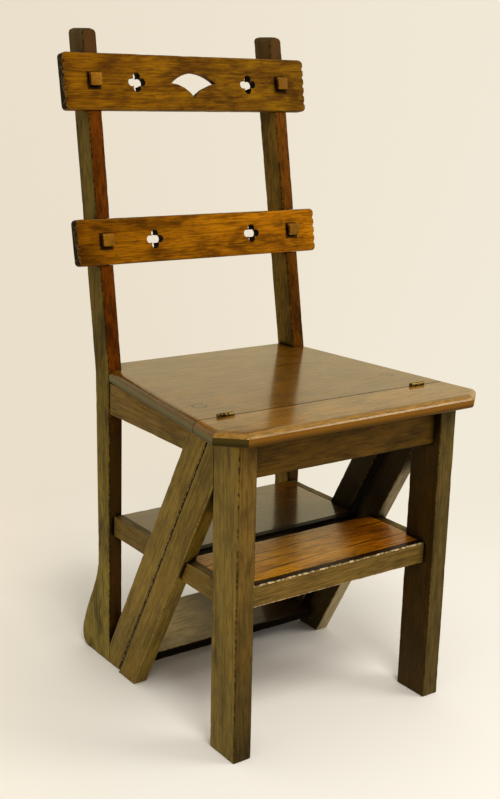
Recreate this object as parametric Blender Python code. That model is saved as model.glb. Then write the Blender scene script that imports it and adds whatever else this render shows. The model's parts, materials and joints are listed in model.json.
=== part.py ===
"""Library step chair in stained oak.

The seat is cut across behind the front legs and hinged there. The back section, with the posts,
the rear of the seat and two boards, swings up and over the front section until its post tips
stand on the floor, and the boards of both sections then make a flight of steps.
"""

import math

import bmesh
import bpy
from mathutils import Matrix, Vector

# Lengths are in metres. X runs across the chair, Y from its front to its back and Z up.
# Until the last step Y counts from the front face of the front legs and Z from the floor.

# Fits and finish
CLEARANCE = 0.0003
OVERRUN = 0.004
LAP = 0.004
ARRIS = 0.0018
FINE_ARRIS = 0.0007

# Seat board, cut in two at the seam
SEAT_TOP = 0.455
SEAT_THICKNESS = 0.0175
SEAT_FRONT = -0.0272
SEAT_FRONT_OVERHANG = 0.0410
SEAT_REAR_OVERHANG = 0.0035
SEAT_CLIP_WIDTH = 0.036
SEAT_CLIP_DEPTH = 0.030
SEAT_EDGE_WIDTH = 0.0105
SEAT_EDGE_DROP = 0.0060
SEAT_LOWER_ROUND = 0.0040
SEAT_BACK_SETBACK = 0.004
SEAM_Y = 0.0565
SEAM_GAP = 0.0020

# Butt hinges in the seam
HINGE_RISE = 0.0018
HINGE_INSET = 0.0512
HINGE_LENGTH = 0.024
KNUCKLE_COUNT = 3
KNUCKLE_RADIUS = 0.0026
KNUCKLE_GAP = 0.0004
LEAF_THICKNESS = 0.0014
LEAF_BOTTOM_MARGIN = 0.0025
PIN_RADIUS = 0.0011
PIN_CLEARANCE = 0.0001
LEAF_SCREW_SPACING = 0.012
LEAF_SCREW_HEAD_RADIUS = 0.0023
LEAF_SCREW_SHANK_RADIUS = 0.0012
LEAF_SCREW_LENGTH = 0.0120
SCREW_POINT = 0.0030
SCREW_SLOT_WIDTH = 0.0007
SCREW_SLOT_DEPTH = 0.0005

# Front section
FRONT_HALF_WIDTH = 0.1790
LEG_THICKNESS = 0.0275
LEG_DEPTH = 0.0570
APRON_SETBACK = 0.0126
APRON_THICKNESS = 0.020
APRON_BOTTOM = 0.3827
FRONT_RAIL_SETBACK = 0.0180
FRONT_RAIL_THICKNESS = 0.0120
FRONT_RAIL_LEDGE = 0.0080

# Back section, which stands a little left of the seat's middle
BACK_SHIFT = 0.0037
BACK_SETBACK = 0.0075
POST_THICKNESS = 0.0210
POST_FRONT = 0.3340
POST_DEPTH = 0.0400
POST_FOOT_LEAN = 0.0090
POST_LEAN_TOP = 0.3900
RAKED_POST_DEPTH = 0.0415
RAKE = math.radians(9.4)
TOE_IN = 0.0062
TIP_ROUND = 0.0060
FLARE_HEIGHT = 0.165
FLARE_DEPTH = 0.057

# Diagonal braces, one pair on each section, with the split between them
SPLIT_FOOT_Y = 0.3110
SPLIT_TOP_Y = 0.0640
SPLIT_GAP = 0.0050
BRACE_THICKNESS = 0.0220
BRACE_WIDTH = 0.0460

# Rails under the seat
SEAT_RAIL_BOTTOM = 0.3920
SEAT_RAIL_SETBACK = 0.0015
SEAT_RAIL_THICKNESS = 0.0180
BACK_SEAT_RAIL_THICKNESS = 0.020
BACK_SEAT_RAIL_SETBACK = 0.004

# Shelves
SHELF_TOP = 0.2355
SHELF_RAIL_HEIGHT = 0.0306
SHELF_RAIL_SETBACK = 0.0080
SHELF_LEDGE = 0.005
SHELF_THICKNESS = 0.014
FRONT_SHELF_BACK = 0.1440
BACK_SHELF_FRONT = 0.1620
BACK_SHELF_PAST_POST = 0.004
NOSING_WIDTH = 0.0105
LOW_BOARD_TOP = 0.0400
LOW_BOARD_THICKNESS = 0.0130
LOW_BOARD_FRONT = 0.2640
LOW_BOARD_BACK = 0.4180
HOUSING_DEPTH = 0.0050
HOUSING_MARGIN = 0.0060
HOUSING_SHOULDER = 0.0025

# Rails of the back
BACK_RAIL_THICKNESS = 0.0165
BACK_RAIL_PROUD = 0.0040
BACK_RAIL_CORNER = 0.0060
CREST_OVERHANG = 0.0290
CREST_MIDDLE = 0.8441
CREST_HEIGHT = 0.0757
LOWER_OVERHANG = 0.0313
LOWER_MIDDLE = 0.6313
LOWER_HEIGHT = 0.0638
NOTCH_PITCH = 0.0125
NOTCH_RADIUS = 0.0040
NOTCH_DEPTH = 0.0026
CREST_NOTCH_COUNT = 5
LOWER_NOTCH_COUNT = 4

# Piercings in the rails of the back
FOIL_RADIUS = 0.0057
FOIL_OFFSET = 0.0078
CREST_FOIL_X = 0.0930
CREST_PIERCINGS_SHIFT = 0.0035
LOWER_FOIL_X = 0.0830
LOWER_PIERCINGS_SHIFT = 0.0015
PIERCING_SPLAY = 1.15
FAN_HALF_WIDTH = 0.0370
FAN_RISE = 0.0140
FAN_DROP = 0.0200
FAN_LOBE_RISE = 0.0045

# Square-headed pegs that hold the rails of the back to the posts
PEG_HEAD = 0.0185
PEG_PROUD = 0.0085
PEG_CHAMFER = 0.0033
PEG_SHANK_RADIUS = 0.0055
PEG_SINK = 0.0180
PEG_LIFT = 0.0020

# Plugs and screws that hold the rear seat board to its side rails
PLUG_RADIUS = 0.0095
PLUG_DEPTH = 0.0060
LEFT_PLUG_Y = 0.1130
RIGHT_PLUG_Y = 0.1240
SEAT_SCREW_LENGTH = 0.0380
SEAT_SCREW_HEAD_RADIUS = 0.0042
SEAT_SCREW_SHANK_RADIUS = 0.0021

# Tenons
TENON_LENGTH = 0.0120
TENON_THICKNESS = 0.0070
TENON_SHOULDER = 0.0040

# Counts of facets on curved work
ROUND_FACETS = 24
SMALL_FACETS = 16
ARC_STEPS = 8
CORNER_STEPS = 4
LOWER_ROUND_STEPS = 3
FLARE_STEPS = 7
ARRIS_STEPS = 2
SHARP_ANGLE = math.radians(35.0)

# The foot's outline as shares of the flare's reach and height: a hollow sweep, then a round nose
FLARE_SWEEP_SHARES = ((0.0, 1.0), (0.0, 0.75), (0.45, 0.62), (0.90, 0.23))
FLARE_NOSE_SHARES = ((0.90, 0.23), (1.0, 0.14), (1.04, 0.02), (0.72, 0.0))

# Places that follow from the sizes above
BACK_HALF_WIDTH = FRONT_HALF_WIDTH - BACK_SETBACK
SEAT_FRONT_HALF_WIDTH = FRONT_HALF_WIDTH + SEAT_FRONT_OVERHANG
SEAT_REAR_HALF_WIDTH = BACK_HALF_WIDTH + SEAT_REAR_OVERHANG
CREST_HALF_WIDTH = BACK_HALF_WIDTH + CREST_OVERHANG
LOWER_HALF_WIDTH = BACK_HALF_WIDTH + LOWER_OVERHANG
SEAM_SHARE = (SEAM_Y - SEAT_FRONT) / (POST_FRONT - SEAT_FRONT)
SEAM_HALF_WIDTH = SEAT_FRONT_HALF_WIDTH + (SEAT_REAR_HALF_WIDTH - SEAT_FRONT_HALF_WIDTH) * SEAM_SHARE
HINGE_HALF_SPACING = SEAM_HALF_WIDTH - HINGE_INSET
SEAT_UNDERSIDE = SEAT_TOP - SEAT_THICKNESS
FRAME_TOP = SEAT_UNDERSIDE - CLEARANCE
HINGE_Z = SEAT_TOP + HINGE_RISE
POST_TOP = 2.0 * HINGE_Z
POST_BACK_BEND = SEAT_TOP - (RAKED_POST_DEPTH - POST_DEPTH) / math.tan(RAKE)
POST_BACK = POST_FRONT + POST_DEPTH
POST_INNER = BACK_HALF_WIDTH - POST_THICKNESS
LEG_INNER = FRONT_HALF_WIDTH - LEG_THICKNESS
FRONT_BRACE_INNER = FRONT_HALF_WIDTH - BRACE_THICKNESS
SPLIT_SLOPE = (SPLIT_FOOT_Y - SPLIT_TOP_Y) / SEAT_UNDERSIDE
SHELF_RAIL_BOTTOM = SHELF_TOP - SHELF_RAIL_HEIGHT
SHELF_UNDERSIDE = SHELF_TOP - SHELF_THICKNESS
BRACE_FOOT_BACK = SPLIT_FOOT_Y + SPLIT_GAP / 2.0 + BRACE_WIDTH
POST_FOOT_FRONT = POST_FRONT + POST_FOOT_LEAN - CLEARANCE
BRACE_MEETS_POST = (BRACE_FOOT_BACK - POST_FOOT_FRONT) / (SPLIT_SLOPE - POST_FOOT_LEAN / POST_LEAN_TOP)
TIP_BACK = POST_FRONT + (POST_TOP - SEAT_TOP) * math.tan(RAKE) + RAKED_POST_DEPTH
REARMOST = TIP_BACK - TIP_ROUND * math.sin(RAKE)
MIDDLE_Y = (SEAT_FRONT + REARMOST) / 2.0

SIDES = (("left", -1.0), ("right", 1.0))

# Colour, roughness and metallic value of each finish
FINISHES = {
    "seat": ((0.200, 0.105, 0.040), 0.22, 0.0),
    "frame": ((0.105, 0.058, 0.022), 0.35, 0.0),
    "post": ((0.120, 0.045, 0.018), 0.35, 0.0),
    "shelf": ((0.230, 0.110, 0.030), 0.22, 0.0),
    "back_rail": ((0.290, 0.125, 0.022), 0.28, 0.0),
    "peg": ((0.310, 0.140, 0.030), 0.30, 0.0),
    "brass": ((0.560, 0.390, 0.150), 0.35, 1.0),
    "steel": ((0.300, 0.290, 0.270), 0.40, 1.0),
}


def clear_scene():
    for thing in list(bpy.data.objects):
        bpy.data.objects.remove(thing, do_unlink=True)


def add_empty(name, place, parent, origin):
    """An empty that holds a section. origin is the point, in the section's own sizes, that it marks."""
    empty = bpy.data.objects.new(name, None)
    empty.location = place
    empty.parent = parent
    empty["origin"] = origin
    bpy.context.scene.collection.objects.link(empty)
    return empty


def add_object(name, shape, section, place=(0.0, 0.0, 0.0), tilt=0.0):
    """Turns a bmesh into an object of a section. place and tilt, a turn about X, are the chair's."""
    bmesh.ops.recalc_face_normals(shape, faces=shape.faces)
    mesh = bpy.data.meshes.new(name)
    shape.to_mesh(mesh)
    shape.free()
    thing = bpy.data.objects.new(name, mesh)
    thing.parent = section
    thing.location = Vector(place) - Vector(section["origin"])
    thing.rotation_euler = (tilt, 0.0, 0.0)
    bpy.context.scene.collection.objects.link(thing)
    return thing


def add_piece(name, shape, section, finish, place=(0.0, 0.0, 0.0), tilt=0.0):
    piece = add_object(name, shape, section, place, tilt)
    colour, roughness, metallic = FINISHES[finish]
    material = bpy.data.materials.new(name + "_finish")
    material.use_nodes = True
    shader = material.node_tree.nodes["Principled BSDF"]
    shader.inputs["Base Color"].default_value = (*colour, 1.0)
    shader.inputs["Roughness"].default_value = roughness
    shader.inputs["Metallic"].default_value = metallic
    material.diffuse_color = (*colour, 1.0)
    piece.data.materials.append(material)
    return piece


def add_helper(name, shape, section, place=(0.0, 0.0, 0.0), tilt=0.0):
    helper = add_object(name, shape, section, place, tilt)
    helper.hide_render = True
    helper.display_type = "WIRE"
    return helper


def boolean(piece, helper, operation):
    modifier = piece.modifiers.new(helper.name, "BOOLEAN")
    modifier.operation = operation
    modifier.solver = "EXACT"
    modifier.object = helper


def cut(piece, helper):
    boolean(piece, helper, "DIFFERENCE")


def join(piece, helper):
    boolean(piece, helper, "UNION")


def everywhere(middle):
    return 1.0


def off_ends(half_length):
    """Leaves sharp the arrises at the ends of a piece that runs across the chair."""
    return lambda middle: 0.0 if abs(middle.x) > half_length - CLEARANCE else 1.0


def off_edges(front_edge, back_edge):
    """Leaves sharp the arrises at the ends of a piece that runs from front to back."""
    return lambda middle: float(
        front_edge(middle.z) + CLEARANCE < middle.y < back_edge(middle.z) - CLEARANCE
    )


def ease(piece, width=ARRIS, share_at=everywhere):
    """Rounds the sharp arrises of a piece. share_at gives a share of the width from an edge's middle."""
    shape = bmesh.new()
    shape.from_mesh(piece.data)
    weights = shape.edges.layers.float.new("bevel_weight_edge")
    for edge in shape.edges:
        middle = (edge.verts[0].co + edge.verts[1].co) / 2.0
        sharp = edge.calc_face_angle() > SHARP_ANGLE
        edge[weights] = share_at(middle) if sharp else 0.0
    shape.to_mesh(piece.data)
    shape.free()
    modifier = piece.modifiers.new("eased arrises", "BEVEL")
    modifier.width = width
    modifier.segments = ARRIS_STEPS
    modifier.limit_method = "WEIGHT"


def smooth(piece):
    piece.data.shade_smooth()
    piece.data.set_sharp_from_angle(angle=SHARP_ANGLE)


def prism(outline, axis, low, high):
    """A bmesh with an outline in the two other axes, in X, Y, Z order, run along one axis."""
    shape = bmesh.new()
    axis_index = "XYZ".index(axis)
    corners = []
    for point in outline:
        place = list(point)
        place.insert(axis_index, low)
        corners.append(shape.verts.new(place))
    face = shape.faces.new(corners)
    run = bmesh.ops.extrude_face_region(shape, geom=[face])["geom"]
    moved = [part for part in run if isinstance(part, bmesh.types.BMVert)]
    reach = Vector((0.0, 0.0, 0.0))
    reach[axis_index] = high - low
    bmesh.ops.translate(shape, verts=moved, vec=reach)
    return shape


def merge(shapes):
    """One bmesh that holds several, which is then freed of them."""
    whole = bmesh.new()
    for shape in shapes:
        mesh = bpy.data.meshes.new("passing")
        shape.to_mesh(mesh)
        shape.free()
        whole.from_mesh(mesh)
        bpy.data.meshes.remove(mesh)
    return whole


def turned(profile, facets):
    """Revolves (radius, height) pairs about Z, with a flat end where the first or last has a radius."""
    shape = bmesh.new()
    rings = []
    for radius, height in profile:
        if radius == 0.0:
            rings.append([shape.verts.new((0.0, 0.0, height))])
            continue
        ring = []
        for step in range(facets):
            angle = math.tau * step / facets
            ring.append(shape.verts.new((radius * math.cos(angle), radius * math.sin(angle), height)))
        rings.append(ring)
    for below, above in zip(rings, rings[1:]):
        for step in range(facets):
            after = (step + 1) % facets
            corners = [below[step % len(below)], below[after % len(below)]]
            corners += [above[after % len(above)], above[step % len(above)]]
            shape.faces.new(list(dict.fromkeys(corners)))
    for ring in (rings[0], rings[-1]):
        if len(ring) > 1:
            shape.faces.new(ring)
    return shape


def offset_outline(outline, insets):
    """Moves each edge of an anticlockwise outline inwards by its own distance."""
    moved = []
    for index, point in enumerate(outline):
        before = Vector(outline[index - 1])
        here = Vector(point)
        after = Vector(outline[(index + 1) % len(outline)])
        into = (here - before).normalized()
        away = (after - here).normalized()
        first = before + Vector((-into.y, into.x)) * insets[index - 1]
        second = here + Vector((-away.y, away.x)) * insets[index]
        along = (second - first).cross(away) / into.cross(away)
        moved.append(tuple(first + into * along))
    return moved


def grown(outline):
    """An anticlockwise outline with a clearance added on all sides."""
    return offset_outline(outline, [-CLEARANCE] * len(outline))


def arc(start, end, rise, steps):
    """Points of a circular arc from start up to, but without, end. rise is its height right of the chord."""
    start, end = Vector(start), Vector(end)
    half_chord = (end - start).length / 2.0
    radius = (half_chord**2 + rise**2) / (2.0 * rise)
    along = (end - start).normalized()
    outward = Vector((along.y, -along.x))
    centre = (start + end) / 2.0 - outward * (radius - rise)
    half_angle = math.asin(half_chord / radius)
    points = []
    for step in range(steps):
        angle = -half_angle + 2.0 * half_angle * step / steps
        points.append(tuple(centre + along * math.sin(angle) * radius + outward * math.cos(angle) * radius))
    return points


def bezier(controls, steps):
    """Points of a cubic curve from its first control up to, but without, its last."""
    first, second, third, last = (Vector(point) for point in controls)
    points = []
    for step in range(steps):
        t = step / steps
        s = 1.0 - t
        points.append(tuple(first * s**3 + second * 3 * s * s * t + third * 3 * s * t * t + last * t**3))
    return points


def rectangle(low_a, high_a, low_b, high_b):
    return [(low_a, low_b), (high_a, low_b), (high_a, high_b), (low_a, high_b)]


def rounded_rectangle(half_width, half_height, radius):
    """An anticlockwise outline with round corners."""
    points = []
    for corner, (side, level) in enumerate(((1.0, -1.0), (1.0, 1.0), (-1.0, 1.0), (-1.0, -1.0))):
        centre_x = side * (half_width - radius)
        centre_z = level * (half_height - radius)
        for step in range(CORNER_STEPS + 1):
            angle = math.radians(90.0) * (corner - 1.0 + step / CORNER_STEPS)
            points.append((centre_x + radius * math.cos(angle), centre_z + radius * math.sin(angle)))
    return points


def strip(front_edge, back_edge, bottom, top):
    """A side profile between two edges, each a function that gives its Y at a height."""
    return [
        (front_edge(bottom), bottom),
        (back_edge(bottom), bottom),
        (back_edge(top), top),
        (front_edge(top), top),
    ]


def split_line(height):
    return SPLIT_FOOT_Y - SPLIT_SLOPE * height


def front_brace_back(height):
    return split_line(height) - SPLIT_GAP / 2.0


def front_brace_front(height):
    return front_brace_back(height) - BRACE_WIDTH


def back_brace_front(height):
    return split_line(height) + SPLIT_GAP / 2.0


def back_brace_back(height):
    return back_brace_front(height) + BRACE_WIDTH


def height_on_split(distance, y):
    """The height at which the split line, moved back by a distance, stands at y."""
    return (SPLIT_FOOT_Y + distance - y) / SPLIT_SLOPE


def post_front(height):
    """The front face of a post below the seat, which leans back a little towards its foot."""
    return POST_FRONT + POST_FOOT_LEAN * max(1.0 - height / POST_LEAN_TOP, 0.0)


def shifted(edge, distance):
    return lambda height: edge(height) + distance


def upright(y):
    return lambda height: y


def between(side, near, far):
    """The low and high X of a piece between two distances from the middle, on one side."""
    return sorted((side * near, side * far))


def tenon(rail, hosts, profile, low, high):
    """Joins a tenon to a rail and sinks its mortise, larger by the clearance, into its hosts."""
    name = rail.name + "_in_" + hosts[0].name
    join(rail, add_helper(name + "_tenon", prism(profile, "X", low, high), rail.parent))
    room = prism(grown(profile), "X", low - CLEARANCE, high + CLEARANCE)
    mortise = add_helper(name + "_mortise", room, rail.parent)
    for host in hosts:
        cut(host, mortise)


def cross_tenon(rail, host, side, face, profile):
    """A tenon on the end of a rail that runs across the chair, into a host whose inner face is given."""
    low, high = between(side, face - LAP, face + TENON_LENGTH)
    tenon(rail, [host], profile, low, high)


def side_tenon(rail, host, edge, towards, middle, bottom, top):
    """A tenon on the end of a rail that runs front to back. towards is 1 to the back, -1 to the front."""
    edges = [shifted(edge, -LAP * towards), shifted(edge, TENON_LENGTH * towards)]
    if towards < 0.0:
        edges.reverse()
    profile = strip(*edges, bottom + TENON_SHOULDER, top - TENON_SHOULDER)
    half = TENON_THICKNESS / 2.0
    tenon(rail, [host], profile, middle - half, middle + half)


def seat_half_width(y):
    share = (y - SEAT_FRONT) / (POST_FRONT - SEAT_FRONT)
    return SEAT_FRONT_HALF_WIDTH + (SEAT_REAR_HALF_WIDTH - SEAT_FRONT_HALF_WIDTH) * share


def seat_blank():
    """The whole seat board with its sunk edge, before it is cut at the seam."""
    clip_y = SEAT_FRONT + SEAT_CLIP_DEPTH
    shoulder_y = POST_FRONT - CLEARANCE
    tongue_back = POST_BACK - SEAT_BACK_SETBACK
    reach = POST_INNER - CLEARANCE
    right = [
        (seat_half_width(SEAT_FRONT) - SEAT_CLIP_WIDTH, SEAT_FRONT),
        (seat_half_width(clip_y), clip_y),
        (seat_half_width(shoulder_y), shoulder_y),
    ]
    left = [(-x, y) for x, y in reversed(right)]
    tongue = [(reach, shoulder_y), (reach, tongue_back), (-reach, tongue_back), (-reach, shoulder_y)]
    outline = right + [(x - BACK_SHIFT, y) for x, y in tongue] + left
    worked = (0, 1, len(outline) - 3, len(outline) - 2, len(outline) - 1)
    turn = 2.0 * math.atan(SEAT_EDGE_DROP / SEAT_EDGE_WIDTH)
    radius = SEAT_EDGE_WIDTH / math.sin(turn)
    levels = []
    for step in range(LOWER_ROUND_STEPS + 1):
        angle = math.radians(90.0) * step / LOWER_ROUND_STEPS
        inset = SEAT_LOWER_ROUND * (1.0 - math.sin(angle))
        levels.append((inset, SEAT_UNDERSIDE + SEAT_LOWER_ROUND * (1.0 - math.cos(angle))))
    for step in range(CORNER_STEPS + 1):
        angle = turn * (1.0 - step / CORNER_STEPS)
        inset = SEAT_EDGE_WIDTH - radius * math.sin(angle)
        levels.append((inset, SEAT_TOP - radius * (1.0 - math.cos(angle))))
    shape = bmesh.new()
    rings = []
    for inset, height in levels:
        insets = [inset if index in worked else 0.0 for index in range(len(outline))]
        points = offset_outline(outline, insets)
        rings.append([shape.verts.new((x, y, height)) for x, y in points])
    for below, above in zip(rings, rings[1:]):
        for index in range(len(outline)):
            after = (index + 1) % len(outline)
            shape.faces.new((below[index], below[after], above[after], above[index]))
    shape.faces.new(rings[0])
    shape.faces.new(rings[-1])
    return shape


def seat_waste(front, back):
    """The part of the seat blank that a saw takes away, between two places from front to back."""
    reach = SEAT_FRONT_HALF_WIDTH + OVERRUN
    waste = rectangle(front, back, SEAT_UNDERSIDE - OVERRUN, SEAT_TOP + OVERRUN)
    return prism(waste, "X", -reach, reach)


def hinge_middle(side):
    return side * HINGE_HALF_SPACING - BACK_SHIFT


def hinge_room(side):
    """The recess for a butt hinge: a slot for its leaves and a hollow round its knuckles."""
    half = HINGE_LENGTH / 2.0 + CLEARANCE
    middle = hinge_middle(side)
    depth = LEAF_THICKNESS + CLEARANCE * 1.5
    bottom = SEAT_UNDERSIDE + LEAF_BOTTOM_MARGIN - CLEARANCE
    slot = rectangle(SEAM_Y - depth, SEAM_Y + depth, bottom, SEAT_TOP + OVERRUN)
    return prism(slot, "X", middle - half, middle + half)


def knuckle_room(side):
    half = HINGE_LENGTH / 2.0 + CLEARANCE
    radius = KNUCKLE_RADIUS + KNUCKLE_GAP
    shape = turned([(radius, -half), (radius, half)], ROUND_FACETS)
    return lay_across(shape, side)


def lay_across(shape, side):
    """Turns a shape made along Z to lie along the hinge line, at one of the two hinges."""
    bmesh.ops.rotate(shape, verts=shape.verts, matrix=Matrix.Rotation(math.radians(90.0), 3, "Y"))
    bmesh.ops.translate(shape, verts=shape.verts, vec=(hinge_middle(side), SEAM_Y, HINGE_Z))
    return shape


def build_seat(front_section, back_section):
    front_board = add_piece("front_seat_strip", seat_blank(), front_section, "seat")
    back_board = add_piece("rear_seat_board", seat_blank(), back_section, "seat")
    back_waste = seat_waste(SEAM_Y - SEAM_GAP / 2.0, POST_BACK + OVERRUN)
    front_waste = seat_waste(SEAT_FRONT - OVERRUN, SEAM_Y + SEAM_GAP / 2.0)
    cut(front_board, add_helper("seat_cut_behind_strip", back_waste, front_section))
    cut(back_board, add_helper("seat_cut_before_board", front_waste, back_section))
    for board, section in ((front_board, front_section), (back_board, back_section)):
        for name, side in SIDES:
            label = board.name + "_" + name
            cut(board, add_helper(label + "_hinge_slot", hinge_room(side), section))
            cut(board, add_helper(label + "_knuckle_hollow", knuckle_room(side), section))
    return front_board, back_board


def screw_profile(head_radius, shank_radius, length, spare):
    """A countersunk screw from its point up to its face at height 0, or its hole with spare room."""
    countersink = head_radius - shank_radius
    shank = shank_radius + spare
    head = head_radius + spare
    profile = [(0.0, -length - spare), (shank, -length + SCREW_POINT - spare), (shank, -countersink)]
    profile.append((head, 0.0))
    if spare:
        profile.append((head, spare))
    return profile


def add_screw(name, section, place, tilt, head_radius, shank_radius, length, hosts):
    """A slotted screw, with its hole cut in each of the pieces that it holds."""
    shape = turned(screw_profile(head_radius, shank_radius, length, 0.0), SMALL_FACETS)
    screw = add_piece(name, shape, section, "brass", place, tilt)
    smooth(screw)
    half_slot = SCREW_SLOT_WIDTH / 2.0
    slot = rectangle(-half_slot, half_slot, -SCREW_SLOT_DEPTH, SCREW_SLOT_DEPTH)
    reach = head_radius + OVERRUN
    cut(screw, add_helper(name + "_slot", prism(slot, "X", -reach, reach), section, place, tilt))
    hole = turned(screw_profile(head_radius, shank_radius, length, CLEARANCE), SMALL_FACETS)
    helper = add_helper(name + "_hole", hole, section, place, tilt)
    for host in hosts:
        cut(host, helper)
    return screw


def add_leaf(name, section, side, facing, knuckles):
    """A hinge leaf. facing is 1 on the back section and -1 on the front one."""
    middle = hinge_middle(side)
    half = HINGE_LENGTH / 2.0
    near = SEAM_Y + facing * CLEARANCE / 2.0
    low_y, high_y = sorted((near, near + facing * LEAF_THICKNESS))
    top = HINGE_Z - KNUCKLE_RADIUS - KNUCKLE_GAP
    plate = rectangle(low_y, high_y, SEAT_UNDERSIDE + LEAF_BOTTOM_MARGIN, top)
    leaf = add_piece(name, prism(plate, "X", middle - half, middle + half), section, "brass")
    pitch = HINGE_LENGTH / KNUCKLE_COUNT
    web = rectangle(low_y, high_y, top - LEAF_THICKNESS, HINGE_Z - PIN_RADIUS)
    for index in knuckles:
        left = middle - half + pitch * index + (KNUCKLE_GAP / 2.0 if index else 0.0)
        right = middle - half + pitch * (index + 1)
        if index < KNUCKLE_COUNT - 1:
            right -= KNUCKLE_GAP / 2.0
        barrel = turned([(KNUCKLE_RADIUS, left - middle), (KNUCKLE_RADIUS, right - middle)], ROUND_FACETS)
        label = name + "_knuckle_" + str(index + 1)
        join(leaf, add_helper(label + "_web", prism(web, "X", left, right), section))
        join(leaf, add_helper(label, lay_across(barrel, side), section))
    bore_radius = PIN_RADIUS + PIN_CLEARANCE
    bore = turned([(bore_radius, -half - OVERRUN), (bore_radius, half + OVERRUN)], SMALL_FACETS)
    cut(leaf, add_helper(name + "_bore", lay_across(bore, side), section))
    return leaf


def build_hinges(front_section, back_section, front_board, back_board):
    """Two brass butt hinges, whose pins lie just above the seat so that the boards can close on it."""
    screw_z = (SEAT_UNDERSIDE + LEAF_BOTTOM_MARGIN + HINGE_Z - KNUCKLE_RADIUS - KNUCKLE_GAP) / 2.0
    halves = (
        ("front", front_section, front_board, -1.0, range(0, KNUCKLE_COUNT, 2)),
        ("rear", back_section, back_board, 1.0, range(1, KNUCKLE_COUNT, 2)),
    )
    for name, side in SIDES:
        for half_name, section, board, facing, knuckles in halves:
            leaf = add_leaf(f"{half_name}_hinge_leaf_{name}", section, side, facing, knuckles)
            for number, shift in enumerate((-0.5, 0.5), start=1):
                x = hinge_middle(side) + shift * LEAF_SCREW_SPACING
                add_screw(
                    f"{half_name}_hinge_screw_{name}_{number}",
                    section,
                    (x, SEAM_Y + facing * CLEARANCE / 2.0, screw_z),
                    math.radians(90.0) * facing,
                    LEAF_SCREW_HEAD_RADIUS,
                    LEAF_SCREW_SHANK_RADIUS,
                    LEAF_SCREW_LENGTH,
                    (leaf, board),
                )
        half = HINGE_LENGTH / 2.0
        shape = lay_across(turned([(PIN_RADIUS, -half), (PIN_RADIUS, half)], SMALL_FACETS), side)
        smooth(add_piece(f"hinge_pin_{name}", shape, front_section, "steel"))


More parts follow.
